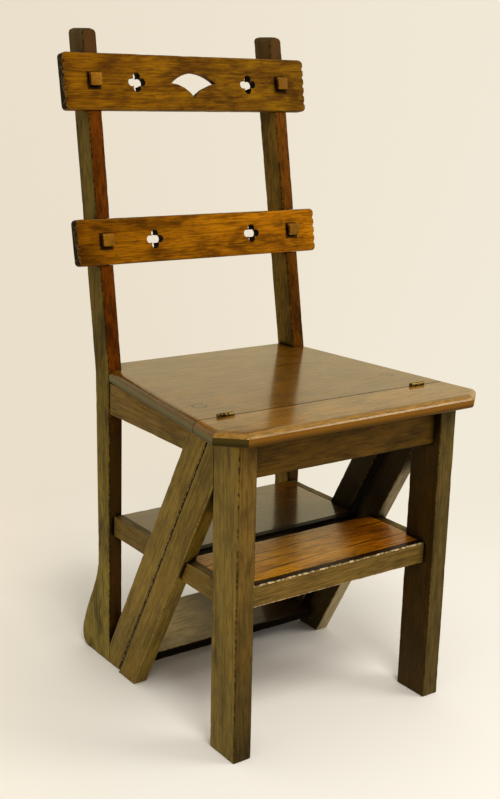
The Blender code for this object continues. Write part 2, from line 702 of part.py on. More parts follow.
def build_front_section(section):
    """Front legs, front braces, the apron and the front shelf in its rails."""
    shelf_front = FRONT_RAIL_SETBACK + FRONT_RAIL_THICKNESS
    board = [
        (LEG_INNER - CLEARANCE, shelf_front + CLEARANCE),
        (LEG_INNER - CLEARANCE, LEG_DEPTH + CLEARANCE),
        (FRONT_BRACE_INNER - CLEARANCE, LEG_DEPTH + CLEARANCE),
        (FRONT_BRACE_INNER - CLEARANCE, FRONT_SHELF_BACK),
    ]
    board += [(-x, y) for x, y in reversed(board)]
    shelf = add_piece("front_shelf_board", prism(board, "Z", SHELF_UNDERSIDE, SHELF_TOP), section, "shelf")
    ease(shelf, FINE_ARRIS)
    rebate = prism(grown(board), "Z", SHELF_UNDERSIDE - CLEARANCE, SHELF_TOP + OVERRUN)
    rebate = add_helper("front_shelf_rebate", rebate, section)

    apron_back = APRON_SETBACK + APRON_THICKNESS
    apron_face = rectangle(APRON_SETBACK, apron_back, APRON_BOTTOM, FRAME_TOP)
    reach = LEG_INNER - CLEARANCE
    apron = add_piece("apron", prism(apron_face, "X", -reach, reach), section, "frame")
    ease(apron, ARRIS, off_ends(reach))
    rail_face = rectangle(FRONT_RAIL_SETBACK, shelf_front + FRONT_RAIL_LEDGE, SHELF_RAIL_BOTTOM, SHELF_TOP)
    rail = add_piece("front_shelf_rail", prism(rail_face, "X", -reach, reach), section, "frame")
    ease(rail, ARRIS, off_ends(reach))
    cut(rail, rebate)

    for name, side in SIDES:
        leg_back = LEG_DEPTH + CLEARANCE
        leg_meets_brace = height_on_split(-SPLIT_GAP / 2.0 - BRACE_WIDTH, leg_back)
        leg_side = rectangle(0.0, LEG_DEPTH, 0.0, FRAME_TOP)
        leg_side.insert(2, (LEG_DEPTH, leg_meets_brace))
        low, high = between(side, LEG_INNER, FRONT_HALF_WIDTH)
        leg = add_piece(f"front_leg_{name}", prism(leg_side, "X", low, high), section, "frame")
        ease(leg, ARRIS, lambda middle: float(middle.z < leg_meets_brace or middle.y < LEG_DEPTH / 2.0))
        brace_side = [
            (front_brace_front(0.0), 0.0),
            (front_brace_back(0.0), 0.0),
            (front_brace_back(FRAME_TOP), FRAME_TOP),
            (leg_back, FRAME_TOP),
            (leg_back, leg_meets_brace),
        ]
        low, high = between(side, FRONT_BRACE_INNER, FRONT_HALF_WIDTH)
        brace = add_piece(f"front_brace_{name}", prism(brace_side, "X", low, high), section, "frame")
        ease(brace, ARRIS, off_edges(upright(leg_back), upright(POST_BACK)))

        outer = FRONT_HALF_WIDTH - SHELF_RAIL_SETBACK
        inner = FRONT_BRACE_INNER
        before_brace = shifted(front_brace_front, -CLEARANCE)
        rail_side = strip(upright(leg_back), before_brace, SHELF_RAIL_BOTTOM, SHELF_TOP)
        low, high = between(side, inner - SHELF_LEDGE, outer)
        blank = prism(rail_side, "X", low, high)
        side_rail = add_piece(f"front_shelf_side_rail_{name}", blank, section, "frame")
        ease(side_rail, FINE_ARRIS, off_edges(upright(leg_back), before_brace))
        cut(side_rail, rebate)
        middle = side * (inner + outer) / 2.0
        level = (SHELF_RAIL_BOTTOM, SHELF_TOP)
        side_tenon(side_rail, leg, upright(leg_back), -1.0, middle, *level)
        side_tenon(side_rail, brace, before_brace, 1.0, middle, *level)

        half = TENON_THICKNESS / 2.0
        apron_middle = (APRON_SETBACK + apron_back) / 2.0
        bottom, top = APRON_BOTTOM + TENON_SHOULDER, FRAME_TOP - TENON_SHOULDER
        profile = rectangle(apron_middle - half, apron_middle + half, bottom, top)
        cross_tenon(apron, leg, side, reach, profile)
        rail_middle = (FRONT_RAIL_SETBACK + shelf_front) / 2.0
        bottom, top = SHELF_RAIL_BOTTOM + TENON_SHOULDER, SHELF_TOP - TENON_SHOULDER
        cross_tenon(rail, leg, side, reach, rectangle(rail_middle - half, rail_middle + half, bottom, top))


def post_side():
    """The side profile of a post: upright below the seat, raked above it, with a flared foot."""
    front_top = POST_FRONT + (POST_TOP - SEAT_TOP) * math.tan(RAKE)
    nose = [(POST_BACK + y * FLARE_DEPTH, z * FLARE_HEIGHT) for y, z in FLARE_NOSE_SHARES]
    sweep = [(POST_BACK + y * FLARE_DEPTH, z * FLARE_HEIGHT) for y, z in FLARE_SWEEP_SHARES]
    down = bezier(sweep, FLARE_STEPS) + bezier(nose, FLARE_STEPS) + nose[-1:]
    up = [(POST_BACK, POST_BACK_BEND), (front_top + RAKED_POST_DEPTH, POST_TOP), (front_top, POST_TOP)]
    front = [(POST_FRONT, SEAT_TOP), (POST_FRONT, POST_LEAN_TOP)]
    foot = [(post_front(height), height) for height in (BRACE_MEETS_POST, 0.0)]
    return down[::-1] + up + front + foot


def toe_in_at(height):
    """How far a post has leaned towards the middle at a height above the seat."""
    return TOE_IN * (height - SEAT_TOP) / (POST_TOP - SEAT_TOP)


def post_rounding(middle):
    """The share of the tip's rounding that each arris of a post gets, none in its joint with the brace."""
    if middle.z > POST_TOP - CLEARANCE:
        return 1.0
    in_joint = middle.z < BRACE_MEETS_POST and middle.y < post_front(middle.z) + CLEARANCE
    return 0.0 if in_joint else ARRIS / TIP_ROUND


def add_post(name, side, section):
    low, high = between(side, POST_INNER, BACK_HALF_WIDTH)
    shape = prism(post_side(), "X", low, high)
    for face_x in (low, high):
        face = [corner for corner in shape.verts if abs(corner.co.x - face_x) < POST_THICKNESS / 2.0]
        bends = [corner for corner in face if POST_BACK_BEND - LAP < corner.co.z < SEAT_TOP + LAP]
        bmesh.ops.connect_verts(shape, verts=bends)
    for corner in shape.verts:
        corner.co.x -= side * max(toe_in_at(corner.co.z), 0.0)
    post = add_piece(f"back_post_{name}", shape, section, "post")
    ease(post, TIP_ROUND, post_rounding)
    return post


def place_on_back(middle):
    """The point on the posts' raked front faces at a height, midway across the chair."""
    return (0.0, POST_FRONT + (middle - SEAT_TOP) * math.tan(RAKE), middle)


def quatrefoil():
    """Four round lobes about an open centre, as one anticlockwise outline."""
    meet = math.asin(FOIL_OFFSET * math.sin(math.radians(45.0)) / FOIL_RADIUS)
    spread = math.radians(45.0) + meet
    points = []
    for lobe in range(4):
        facing = math.radians(90.0) * lobe
        centre_x = FOIL_OFFSET * math.cos(facing)
        centre_z = FOIL_OFFSET * math.sin(facing)
        for step in range(ARC_STEPS):
            angle = facing - spread + 2.0 * spread * step / ARC_STEPS
            x = centre_x + FOIL_RADIUS * math.cos(angle)
            points.append((x, centre_z + FOIL_RADIUS * math.sin(angle)))
    return points


def fan():
    """A fan that comes to a point below: an arch on top and a rising lobe of wood on each side."""
    left, right, foot = (-FAN_HALF_WIDTH, 0.0), (FAN_HALF_WIDTH, 0.0), (0.0, -FAN_DROP)
    arch = arc(right, left, FAN_RISE, ARC_STEPS + CORNER_STEPS)
    lobe = arc(foot, left, FAN_LOBE_RISE, CORNER_STEPS)
    return lobe[:1] + [(-x, z) for x, z in lobe[1:]] + arch + [left] + lobe[:0:-1]


def piercing(outline, middle_x):
    """The saw cut of an ornament through a rail, which opens out a little towards the rail's back."""
    back = BACK_RAIL_THICKNESS - BACK_RAIL_PROUD
    shape = prism(outline, "Y", -BACK_RAIL_PROUD - OVERRUN, back + OVERRUN)
    for corner in shape.verts:
        depth = (corner.co.y + BACK_RAIL_PROUD) / BACK_RAIL_THICKNESS
        spread = 1.0 + (PIERCING_SPLAY - 1.0) * depth
        corner.co.x = middle_x + corner.co.x * spread
        corner.co.z *= spread
    return shape


def rail_notches(half_width, count):
    """Gouge cuts across the two front arrises at a rail's ends, spaced evenly about its middle."""
    cuts = []
    reach = NOTCH_DEPTH * 2.0 + OVERRUN
    for name, side in SIDES:
        outward = Vector((side, -1.0, 0.0)).normalized()
        corner = Vector((side * half_width, -BACK_RAIL_PROUD, 0.0))
        across = Vector((side, 1.0, 0.0)).normalized()
        turn = Vector((0.0, 0.0, 1.0)).rotation_difference(across).to_matrix()
        for index in range(count):
            level = Vector((0.0, 0.0, NOTCH_PITCH * (index - (count - 1) / 2.0)))
            gouge = turned([(NOTCH_RADIUS, -reach), (NOTCH_RADIUS, reach)], SMALL_FACETS)
            bmesh.ops.rotate(gouge, verts=gouge.verts, matrix=turn)
            place = corner + outward * (NOTCH_RADIUS - NOTCH_DEPTH) + level
            bmesh.ops.translate(gouge, verts=gouge.verts, vec=place)
            cuts.append(gouge)
    return merge(cuts)


def shank_shape(radius, front, back):
    """A round bar along Y between two places."""
    shape = turned([(radius, front), (radius, back)], SMALL_FACETS)
    bmesh.ops.rotate(shape, verts=shape.verts, matrix=Matrix.Rotation(math.radians(-90.0), 3, "X"))
    return shape


def add_peg(name, section, place, hosts):
    """A square-headed peg through a rail of the back into its post."""
    head = PEG_HEAD / 2.0
    front = -BACK_RAIL_PROUD - CLEARANCE
    face = rectangle(-head, head, -head, head)
    peg = add_piece(name, prism(face, "Y", front - PEG_PROUD, front), section, "peg", place, -RAKE)
    front_edges = peg.modifiers.new("chamfered head", "BEVEL")
    front_edges.width = PEG_CHAMFER
    front_edges.segments = ARRIS_STEPS
    front_edges.limit_method = "VGROUP"
    front_edges.vertex_group = "face"
    group = peg.vertex_groups.new(name="face")
    group.add([v.index for v in peg.data.vertices if v.co.y < front - PEG_PROUD / 2.0], 1.0, "REPLACE")
    tip = BACK_RAIL_THICKNESS - BACK_RAIL_PROUD + PEG_SINK
    shank = shank_shape(PEG_SHANK_RADIUS, front - LAP / 2.0, tip)
    hole = shank_shape(PEG_SHANK_RADIUS + CLEARANCE, front - OVERRUN, tip + CLEARANCE)
    join(peg, add_helper(name + "_shank", shank, section, place, -RAKE))
    helper = add_helper(name + "_hole", hole, section, place, -RAKE)
    for host in hosts:
        cut(host, helper)
    return peg


def add_back_rail(name, section, posts, middle, height, half_width, notches, piercings):
    """A rail of the back, let into both posts and pegged, with notched ends and pierced ornament."""
    place = place_on_back(middle)
    half_height = height / 2.0
    back = BACK_RAIL_THICKNESS - BACK_RAIL_PROUD
    face = rounded_rectangle(half_width, half_height, BACK_RAIL_CORNER)
    rail = add_piece(name, prism(face, "Y", -BACK_RAIL_PROUD, back), section, "back_rail", place, -RAKE)
    ease(rail, ARRIS)
    cut(rail, add_helper(name + "_piercings", merge(piercings), section, place, -RAKE))
    cut(rail, add_helper(name + "_notches", rail_notches(half_width, notches), section, place, -RAKE))
    reach = half_height + CLEARANCE
    room = rectangle(-BACK_RAIL_PROUD - OVERRUN, back + CLEARANCE, -reach, reach)
    room = prism(room, "X", -half_width, half_width)
    housing = add_helper(name + "_housing", room, section, place, -RAKE)
    peg_z = middle + PEG_LIFT
    for (side_name, side), post in zip(SIDES, posts):
        cut(post, housing)
        x = side * (BACK_HALF_WIDTH - POST_THICKNESS / 2.0 - toe_in_at(peg_z))
        peg_place = (x, *place_on_back(peg_z)[1:])
        add_peg(f"{name}_peg_{side_name}", section, peg_place, (rail, post))
    return rail


def add_back_shelf(section):
    """The rear shelf: its board, and the nosing along the board's front edge."""
    reach = POST_INNER - CLEARANCE
    board_front = BACK_SHELF_FRONT + NOSING_WIDTH
    nosing = rectangle(BACK_SHELF_FRONT, board_front - CLEARANCE, SHELF_UNDERSIDE, SHELF_TOP)
    nosing = add_piece("rear_shelf_nosing", prism(nosing, "X", -reach, reach), section, "shelf")
    ease(nosing, FINE_ARRIS)
    back = POST_FRONT + BACK_SHELF_PAST_POST
    board = rectangle(board_front, back, SHELF_UNDERSIDE, SHELF_TOP)
    board = add_piece("rear_shelf_board", prism(board, "X", -reach, reach), section, "shelf")
    ease(board, FINE_ARRIS)
    room = rectangle(
        board_front - CLEARANCE, back + OVERRUN, SHELF_UNDERSIDE - CLEARANCE, SHELF_TOP + OVERRUN
    )
    return add_helper("rear_shelf_rebate", prism(room, "X", -POST_INNER, POST_INNER), section)


def add_low_board(section):
    """The board between the feet, whose front edge passes between the front braces."""
    bottom = LOW_BOARD_TOP - LOW_BOARD_THICKNESS
    reach = POST_INNER - CLEARANCE
    face = rectangle(LOW_BOARD_FRONT, LOW_BOARD_BACK, bottom, LOW_BOARD_TOP)
    board = add_piece("low_board", prism(face, "X", -reach, reach), section, "shelf")
    ease(board, ARRIS, off_ends(reach))
    return board


def house_low_board(board, side, hosts):
    """Tongues on the ends of the low board, let into the posts and the braces."""
    bottom = LOW_BOARD_TOP - LOW_BOARD_THICKNESS
    front = back_brace_front(bottom) + HOUSING_MARGIN
    back = LOW_BOARD_BACK - HOUSING_MARGIN
    profile = rectangle(front, back, bottom + HOUSING_SHOULDER, LOW_BOARD_TOP - HOUSING_SHOULDER)
    reach = POST_INNER - CLEARANCE
    tenon(board, hosts, profile, *between(side, reach - LAP, POST_INNER + HOUSING_DEPTH))


def build_back_section(section, seat_board):
    """Posts, rear braces, seat rails, the two rear boards and the rails of the back."""
    shelf_rebate = add_back_shelf(section)
    low_board = add_low_board(section)
    rail_front = POST_BACK - BACK_SEAT_RAIL_SETBACK - BACK_SEAT_RAIL_THICKNESS
    rail_back = POST_BACK - BACK_SEAT_RAIL_SETBACK
    rail_face = rectangle(rail_front, rail_back, SEAT_RAIL_BOTTOM, FRAME_TOP)
    reach = POST_INNER - CLEARANCE
    seat_back_rail = add_piece("rear_seat_rail", prism(rail_face, "X", -reach, reach), section, "frame")
    ease(seat_back_rail, FINE_ARRIS, off_ends(reach))

    posts = []
    before_post = shifted(post_front, -CLEARANCE)
    behind_brace = shifted(back_brace_back, CLEARANCE)
    for name, side in SIDES:
        post = add_post(name, side, section)
        posts.append(post)
        brace_side = [
            (back_brace_front(0.0), 0.0),
            (before_post(0.0), 0.0),
            (before_post(BRACE_MEETS_POST), BRACE_MEETS_POST),
            (back_brace_back(FRAME_TOP), FRAME_TOP),
            (back_brace_front(FRAME_TOP), FRAME_TOP),
        ]
        low, high = between(side, POST_INNER, BACK_HALF_WIDTH)
        brace = add_piece(f"rear_brace_{name}", prism(brace_side, "X", low, high), section, "frame")
        ease(brace, ARRIS, off_edges(upright(SEAT_FRONT), before_post))
        house_low_board(low_board, side, (post, brace))

        seat_outer = BACK_HALF_WIDTH - SEAT_RAIL_SETBACK
        seat_inner = seat_outer - SEAT_RAIL_THICKNESS
        shelf_outer = BACK_HALF_WIDTH - SHELF_RAIL_SETBACK
        rails = (
            ("seat_side_rail", seat_inner, seat_outer, SEAT_RAIL_BOTTOM, FRAME_TOP, 0.0),
            ("rear_shelf_side_rail", POST_INNER, shelf_outer, SHELF_RAIL_BOTTOM, SHELF_TOP, SHELF_LEDGE),
        )
        for rail_name, inner, outer, bottom, top, ledge in rails:
            rail_side = strip(behind_brace, before_post, bottom, top)
            low, high = between(side, inner - ledge, outer)
            rail = add_piece(f"{rail_name}_{name}", prism(rail_side, "X", low, high), section, "frame")
            ease(rail, FINE_ARRIS, off_edges(behind_brace, before_post))
            if ledge:
                cut(rail, shelf_rebate)
            middle = side * (inner + outer) / 2.0
            side_tenon(rail, brace, behind_brace, -1.0, middle, bottom, top)
            side_tenon(rail, post, before_post, 1.0, middle, bottom, top)
            if not ledge:
                add_seat_plug(name, middle, section, (seat_board, rail, brace))

        half = TENON_THICKNESS / 2.0
        middle = (rail_front + rail_back) / 2.0
        bottom, top = SEAT_RAIL_BOTTOM + TENON_SHOULDER, FRAME_TOP - TENON_SHOULDER
        cross_tenon(seat_back_rail, post, side, reach, rectangle(middle - half, middle + half, bottom, top))

    crest_piercings = [piercing(fan(), CREST_PIERCINGS_SHIFT)]
    lower_piercings = []
    for name, side in SIDES:
        crest_piercings.append(piercing(quatrefoil(), CREST_PIERCINGS_SHIFT + side * CREST_FOIL_X))
        lower_piercings.append(piercing(quatrefoil(), LOWER_PIERCINGS_SHIFT + side * LOWER_FOIL_X))
    crest = (CREST_MIDDLE, CREST_HEIGHT, CREST_HALF_WIDTH, CREST_NOTCH_COUNT, crest_piercings)
    lower = (LOWER_MIDDLE, LOWER_HEIGHT, LOWER_HALF_WIDTH, LOWER_NOTCH_COUNT, lower_piercings)
    add_back_rail("crest_rail", section, posts, *crest)
    add_back_rail("lower_back_rail", section, posts, *lower)


def add_seat_plug(name, x, section, hosts):
    """A round plug, flush with the seat, over a screw that goes down into the side rail."""
    plug_y = LEFT_PLUG_Y if x < 0.0 else RIGHT_PLUG_Y
    plug_bottom = SEAT_TOP - PLUG_DEPTH
    place = (x, plug_y, plug_bottom)
    blank = turned([(PLUG_RADIUS, 0.0), (PLUG_RADIUS, PLUG_DEPTH)], ROUND_FACETS)
    plug = add_piece(f"seat_plug_{name}", blank, section, "seat", place)
    smooth(plug)
    radius = PLUG_RADIUS + CLEARANCE
    room = turned([(radius, -CLEARANCE), (radius, PLUG_DEPTH + OVERRUN)], ROUND_FACETS)
    cut(hosts[0], add_helper(f"seat_plug_hole_{name}", room, section, place))
    add_screw(
        f"seat_screw_{name}",
        section,
        (x, plug_y, plug_bottom - CLEARANCE * 2.0),
        0.0,
        SEAT_SCREW_HEAD_RADIUS,
        SEAT_SCREW_SHANK_RADIUS,
        SEAT_SCREW_LENGTH,
        hosts,
    )


def main():
    clear_scene()
    origin = (0.0, 0.0, 0.0)
    hinge_line = (0.0, SEAM_Y, HINGE_Z)
    chair = add_empty("chair", (0.0, -MIDDLE_Y, 0.0), None, origin)
    front_section = add_empty("front_section", origin, chair, origin)
    back_section = add_empty("back_section", hinge_line, chair, hinge_line)
    back_frame = add_empty("back_frame", (-BACK_SHIFT, 0.0, 0.0), back_section, hinge_line)
    front_board, back_board = build_seat(front_section, back_section)
    build_hinges(front_section, back_section, front_board, back_board)
    build_front_section(front_section)
    build_back_section(back_frame, back_board)


main()
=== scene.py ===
"""Library step chair in stained and varnished oak: the looks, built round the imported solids."""

import json
import math

import bmesh
import bpy
from mathutils import Matrix, Vector, noise
from mathutils.bvhtree import BVHTree

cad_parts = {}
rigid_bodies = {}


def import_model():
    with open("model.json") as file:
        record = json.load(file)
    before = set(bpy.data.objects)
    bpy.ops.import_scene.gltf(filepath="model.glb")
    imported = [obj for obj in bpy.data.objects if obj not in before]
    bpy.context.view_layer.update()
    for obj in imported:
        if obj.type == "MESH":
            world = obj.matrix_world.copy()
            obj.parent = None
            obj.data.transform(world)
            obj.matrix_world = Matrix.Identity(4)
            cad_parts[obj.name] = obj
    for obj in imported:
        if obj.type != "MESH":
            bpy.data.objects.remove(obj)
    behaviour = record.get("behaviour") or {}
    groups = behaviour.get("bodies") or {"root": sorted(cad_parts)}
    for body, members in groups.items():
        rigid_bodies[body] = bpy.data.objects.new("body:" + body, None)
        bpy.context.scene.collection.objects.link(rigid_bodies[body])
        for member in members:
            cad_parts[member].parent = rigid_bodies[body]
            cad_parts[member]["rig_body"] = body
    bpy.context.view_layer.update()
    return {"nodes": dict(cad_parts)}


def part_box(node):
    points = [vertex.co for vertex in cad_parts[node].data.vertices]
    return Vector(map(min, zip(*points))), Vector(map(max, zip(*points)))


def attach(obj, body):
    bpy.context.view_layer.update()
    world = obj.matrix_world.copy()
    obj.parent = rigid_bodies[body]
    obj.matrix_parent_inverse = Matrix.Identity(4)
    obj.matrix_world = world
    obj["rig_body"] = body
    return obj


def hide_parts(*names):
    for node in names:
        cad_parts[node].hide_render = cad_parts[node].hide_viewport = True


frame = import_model()
nodes = frame["nodes"]

# ---------------------------------------------------------------------------------------------
# Front legs
# Two legs sawn from oak, stained dark and wiped with a thin varnish. The upper ends are tenoned
# into the seat strip, and feet and front arrises carry a century of knocks.


def linear(written):
    """A colour written as sRGB hex, as the linear colour that a shader takes."""
    channels = [int(written[i:i + 2], 16) / 255.0 for i in (1, 3, 5)]
    return [c / 12.92 if c <= 0.04045 else ((c + 0.055) / 1.055) ** 2.4 for c in channels] + [1.0]


def add(tree, kind, inputs=None, **settings):
    """Adds a node. Each input is a value for its socket, or a socket that is linked to it."""
    node = tree.nodes.new("ShaderNode" + kind)
    for name, value in settings.items():
        setattr(node, name, value)
    for socket, value in (inputs or {}).items():
        if isinstance(value, bpy.types.NodeSocket):
            tree.links.new(value, node.inputs[socket])
        else:
            node.inputs[socket].default_value = value
    return node


def reckon(tree, operation, *values):
    """The result of a sum on one to three values."""
    return add(tree, "Math", dict(enumerate(values)), operation=operation).outputs[0]


def blend(tree, share, below, above, kind="MIX"):
    """The colour below, with the colour above laid over it where share is 1."""
    mixed = add(tree, "Mix", {0: share, 6: below, 7: above}, data_type="RGBA", blend_type=kind)
    return mixed.outputs[2]


def ramp(tree, value, low, high, bottom=0.0, top=1.0):
    """The value, drawn out so that low becomes bottom and high becomes top."""
    spread = {"Value": value, "From Min": low, "From Max": high, "To Min": bottom, "To Max": top}
    return add(tree, "MapRange", spread, interpolation_type="SMOOTHSTEP").outputs[0]


# Oak shows growth rings as bands, flecks and dashes along the grain. A real pore is 0.3 mm wide,
# too fine to show here, so it is drawn at 1.2 mm.
RING_WIDTH = 0.0040
PORE_WIDTH = 0.0012
PORE_LENGTH = 0.020
STREAK_WIDTH = 0.0030
STREAK_LENGTH = 0.080
FLECK_WIDTH = 0.0060
FLECK_LENGTH = 0.018
BLOTCH_WIDTH = 0.030
BLOTCH_LENGTH = 0.075
RINGS_PER_UNIT = 20.0 / math.tau
# Near black: soot and wax in joints, and painted shade.
SOOT_AND_SHADE = "#0b0704"


def patches(tree, wood, length, width, detail=2.0):
    """Cloudy noise, drawn out along the grain."""
    stretched = add(tree, "Mapping", {"Vector": wood, "Scale": (1.0 / length, 1.0 / width, 1.0 / width)})
    return add(tree, "TexNoise", {"Vector": stretched.outputs[0], "Scale": 1.0, "Detail": detail}).outputs["Fac"]


def facing(tree, normal, direction):
    """How squarely the surface faces a direction, from 0 to 1."""
    dot = add(tree, "VectorMath", {0: normal, 1: direction}, operation="DOT_PRODUCT").outputs["Value"]
    return ramp(tree, dot, 0.50, 0.85)


def oak(
    name, grain, heart, ground, dark, light, wear_and_highlight, sides=(), shine=0.42, varnish=0.0, rings=0.20,
    pores=0.35, flecks=0.25, blotches=0.4, marks=None, shadow=0.8, ends="#4a4236", gloss=0.10,
):
    """Stained oak. grain is the way it runs, heart where the tree's middle lies, marks a further stain.

    The stain is ground, with dark and light in the figure, and ends on end grain. Rubbed arrises take
    wear_and_highlight, which where it is pale is a painted highlight as well as wear. marks is a further
    stain, and on some pieces painted shade. sides holds (direction, colour) pairs, and tones the faces
    that look that way; on some pieces these tones are painted shade. shine is how rough the surface is,
    varnish how much of a coat is left, gloss how much bare wood mirrors, and shadow how far the painted
    shade darkens the parts of the frame that lie under and between others.
    """
    material = bpy.data.materials.new(name)
    material.use_nodes = True
    tree = material.node_tree
    shader = tree.nodes["Principled BSDF"]
    surface = add(tree, "TexCoord")
    along = Vector(grain).normalized()
    turn = along.rotation_difference(Vector((1.0, 0.0, 0.0))).to_euler()
    wood = add(
        tree, "Mapping", {"Vector": surface.outputs["Object"], "Rotation": turn, "Location": heart}
    ).outputs[0]
    drawn = add(tree, "Mapping", {"Vector": wood, "Scale": (0.10, 1.0, 1.0)}).outputs[0]
    ring = add(
        tree, "TexWave",
        {"Vector": drawn, "Scale": 1.0 / (RING_WIDTH * RINGS_PER_UNIT), "Distortion": 9.0,
         "Detail": 3.0, "Detail Scale": 0.35, "Detail Roughness": 0.6},
        wave_type="RINGS", rings_direction="X", wave_profile="SAW",
    ).outputs["Fac"]
    pore = patches(tree, wood, PORE_LENGTH, PORE_WIDTH)
    streak = patches(tree, wood, STREAK_LENGTH, STREAK_WIDTH)
    fleck = patches(tree, wood, FLECK_LENGTH, FLECK_WIDTH, 3.0)
    blotch = patches(tree, wood, BLOTCH_LENGTH, BLOTCH_WIDTH, 4.0)

    colour = blend(tree, ramp(tree, blotch, 0.46, 0.64, 0.0, blotches), linear(ground), linear(light))
    colour = blend(tree, ramp(tree, blotch, 0.50, 0.34, 0.0, blotches), colour, linear(dark))
    colour = blend(tree, ramp(tree, fleck, 0.52, 0.68, 0.0, flecks), colour, linear(light))
    colour = blend(tree, ramp(tree, fleck, 0.48, 0.34, 0.0, flecks), colour, linear(dark))
    colour = blend(tree, ramp(tree, ring, 0.55, 1.0, 0.0, rings), colour, linear(dark))
    colour = blend(tree, ramp(tree, streak, 0.52, 0.36, 0.0, pores), colour, linear(dark))
    colour = blend(tree, ramp(tree, pore, 0.52, 0.66, 0.0, 0.6 * pores), colour, linear(light))
    colour = blend(tree, ramp(tree, pore, 0.50, 0.36, 0.0, pores), colour, linear(dark))
    normal = surface.outputs["Normal"]
    # Where a side tone darkens the faces that get less light, it is painted shade.
    for direction, tone in sides:
        colour = blend(tree, facing(tree, normal, direction), colour, linear(tone), "MULTIPLY")
    if marks:
        colour = marks(tree, surface, colour)
    for way in (along, -along):
        colour = blend(tree, facing(tree, normal, way), colour, linear(ends), "MULTIPLY")
    # Rubbed arrises take the arris tone: wear, and where it is pale, as on the seat and the front shelf rail, a
    # painted highlight. Arrises that face down are left out, since the highlight falls on the upper ones.
    arris = add(tree, "Attribute", attribute_name="arris").outputs["Fac"]
    scuff = add(tree, "TexNoise", {"Vector": surface.outputs["Object"], "Scale": 220.0, "Detail": 3.0})
    rubbed = ramp(tree, scuff.outputs["Fac"], 0.44, 0.60, 0.10, 0.90)
    rubbed = reckon(tree, "MULTIPLY", rubbed, arris)
    above = ramp(tree, add(tree, "SeparateXYZ", {0: normal}).outputs[2], -0.6, -0.1)
    rubbed = reckon(tree, "MULTIPLY", rubbed, above)
    colour = blend(tree, rubbed, colour, linear(wear_and_highlight))
    # Painted shade: joints, gaps and recesses, and the parts of the frame under and between others, are
    # darkened toward near black by how much of their view is blocked. Near the joints this also stands for wax
    # and soot.
    shade_far = add(tree, "Attribute", attribute_name="shade_far").outputs["Fac"]
    colour = blend(tree, ramp(tree, shade_far, 0.30, 0.80, 0.0, shadow), colour, linear(SOOT_AND_SHADE))
    dirt_and_shade_near = add(tree, "Attribute", attribute_name="dirt_and_shade_near").outputs["Fac"]
    colour = blend(tree, ramp(tree, dirt_and_shade_near, 0.22, 0.75, 0.0, 0.97), colour, linear(SOOT_AND_SHADE))
    tree.links.new(colour, shader.inputs["Base Color"])

    rough = ramp(tree, streak, 0.30, 0.65, shine + 0.08, shine - 0.04)
    rough = reckon(tree, "MULTIPLY_ADD", dirt_and_shade_near, 0.5, rough)
    tree.links.new(rough, shader.inputs["Roughness"])
    height = reckon(tree, "MULTIPLY", pore, 0.7)
    height = reckon(tree, "MULTIPLY_ADD", ring, -0.12, height)
    relief = add(tree, "Bump", {"Height": height, "Strength": 0.4, "Distance": 0.0005})
    tree.links.new(relief.outputs[0], shader.inputs["Normal"])
    shader.inputs["Specular IOR Level"].default_value = gloss
    shader.inputs["Specular Tint"].default_value = linear("#e8c080")
    shader.inputs["Coat Weight"].default_value = varnish
    shader.inputs["Coat Roughness"].default_value = 0.15
    shader.inputs["Coat Tint"].default_value = linear("#fff2d8")
    return material


# An arris is narrower than ARRIS_WIDTH. A solid's plain faces look one way over PLAIN_SHARE of it.
ARRIS_WIDTH = 0.0018
PLAIN_ANGLE = math.radians(6.0)
PLAIN_SHARE = 0.03


def narrow(face, plain):
    """Says whether a face belongs to a rounded arris: a thin strip that lies in none of the plain faces."""
    longest = max(edge.calc_length() for edge in face.edges)
    if 2.0 * face.calc_area() / max(longest, 1e-9) > ARRIS_WIDTH:
        return False
    return all(face.normal.angle(normal, 0.0) > PLAIN_ANGLE for normal in plain)


# NEAR finds joints, gaps and recesses, and FAR the parts of the frame under and between others, for the
# painted shade. A look at what lies round a point starts LIFT off the face, and leaves out directions
# flatter than GRAZING.
NEAR, FAR = 0.030, 0.300
LIFT = 0.0006
GRAZING = 0.12
RAYS = 44
GOLDEN_TURN = math.pi * (3.0 - math.sqrt(5.0))


def all_round():
    """Directions spread evenly over a sphere."""
    spread = []
    for i in range(RAYS):
        level = 1.0 - 2.0 * (i + 0.5) / RAYS
        reach = math.sqrt(1.0 - level * level)
        spread.append(Vector((reach * math.cos(i * GOLDEN_TURN), reach * math.sin(i * GOLDEN_TURN), level)))
    return spread


def solid_tree():
    """All the solids as one tree of faces, for finding what lies near a point."""
    corners, faces = [], []
    for node in nodes.values():
        first = len(corners)
        corners += [node.matrix_world @ v.co for v in node.data.vertices]
        faces += [[first + i for i in polygon.vertices] for polygon in node.data.polygons]
    return BVHTree.FromPolygons(corners, faces)


solids = solid_tree()
directions = all_round()


def shelter(place, normal):
    """The shares of what a point sees that are blocked within the near and the far distance."""
    start = place + normal * LIFT
    near = far = total = 0.0
    for direction in directions:
        square = direction.dot(normal)
        if square < GRAZING:
            continue
        total += square
        distance = solids.ray_cast(start, direction, FAR)[3]
        if distance is not None:
            far += square
            if distance < NEAR:
                near += square
    return near / total, far / total


# A fixed seed makes the wood wave in the same way each time. Noise above KNOCK_FLOOR makes a knock.
noise.seed_set(1)
WAVES_PER_METRE = 14.0
KNOCK_FLOOR, KNOCK_GAIN = 0.12, 3.0
SHARP_ANGLE = math.radians(36.0)
LOOK_INWARD = 0.08


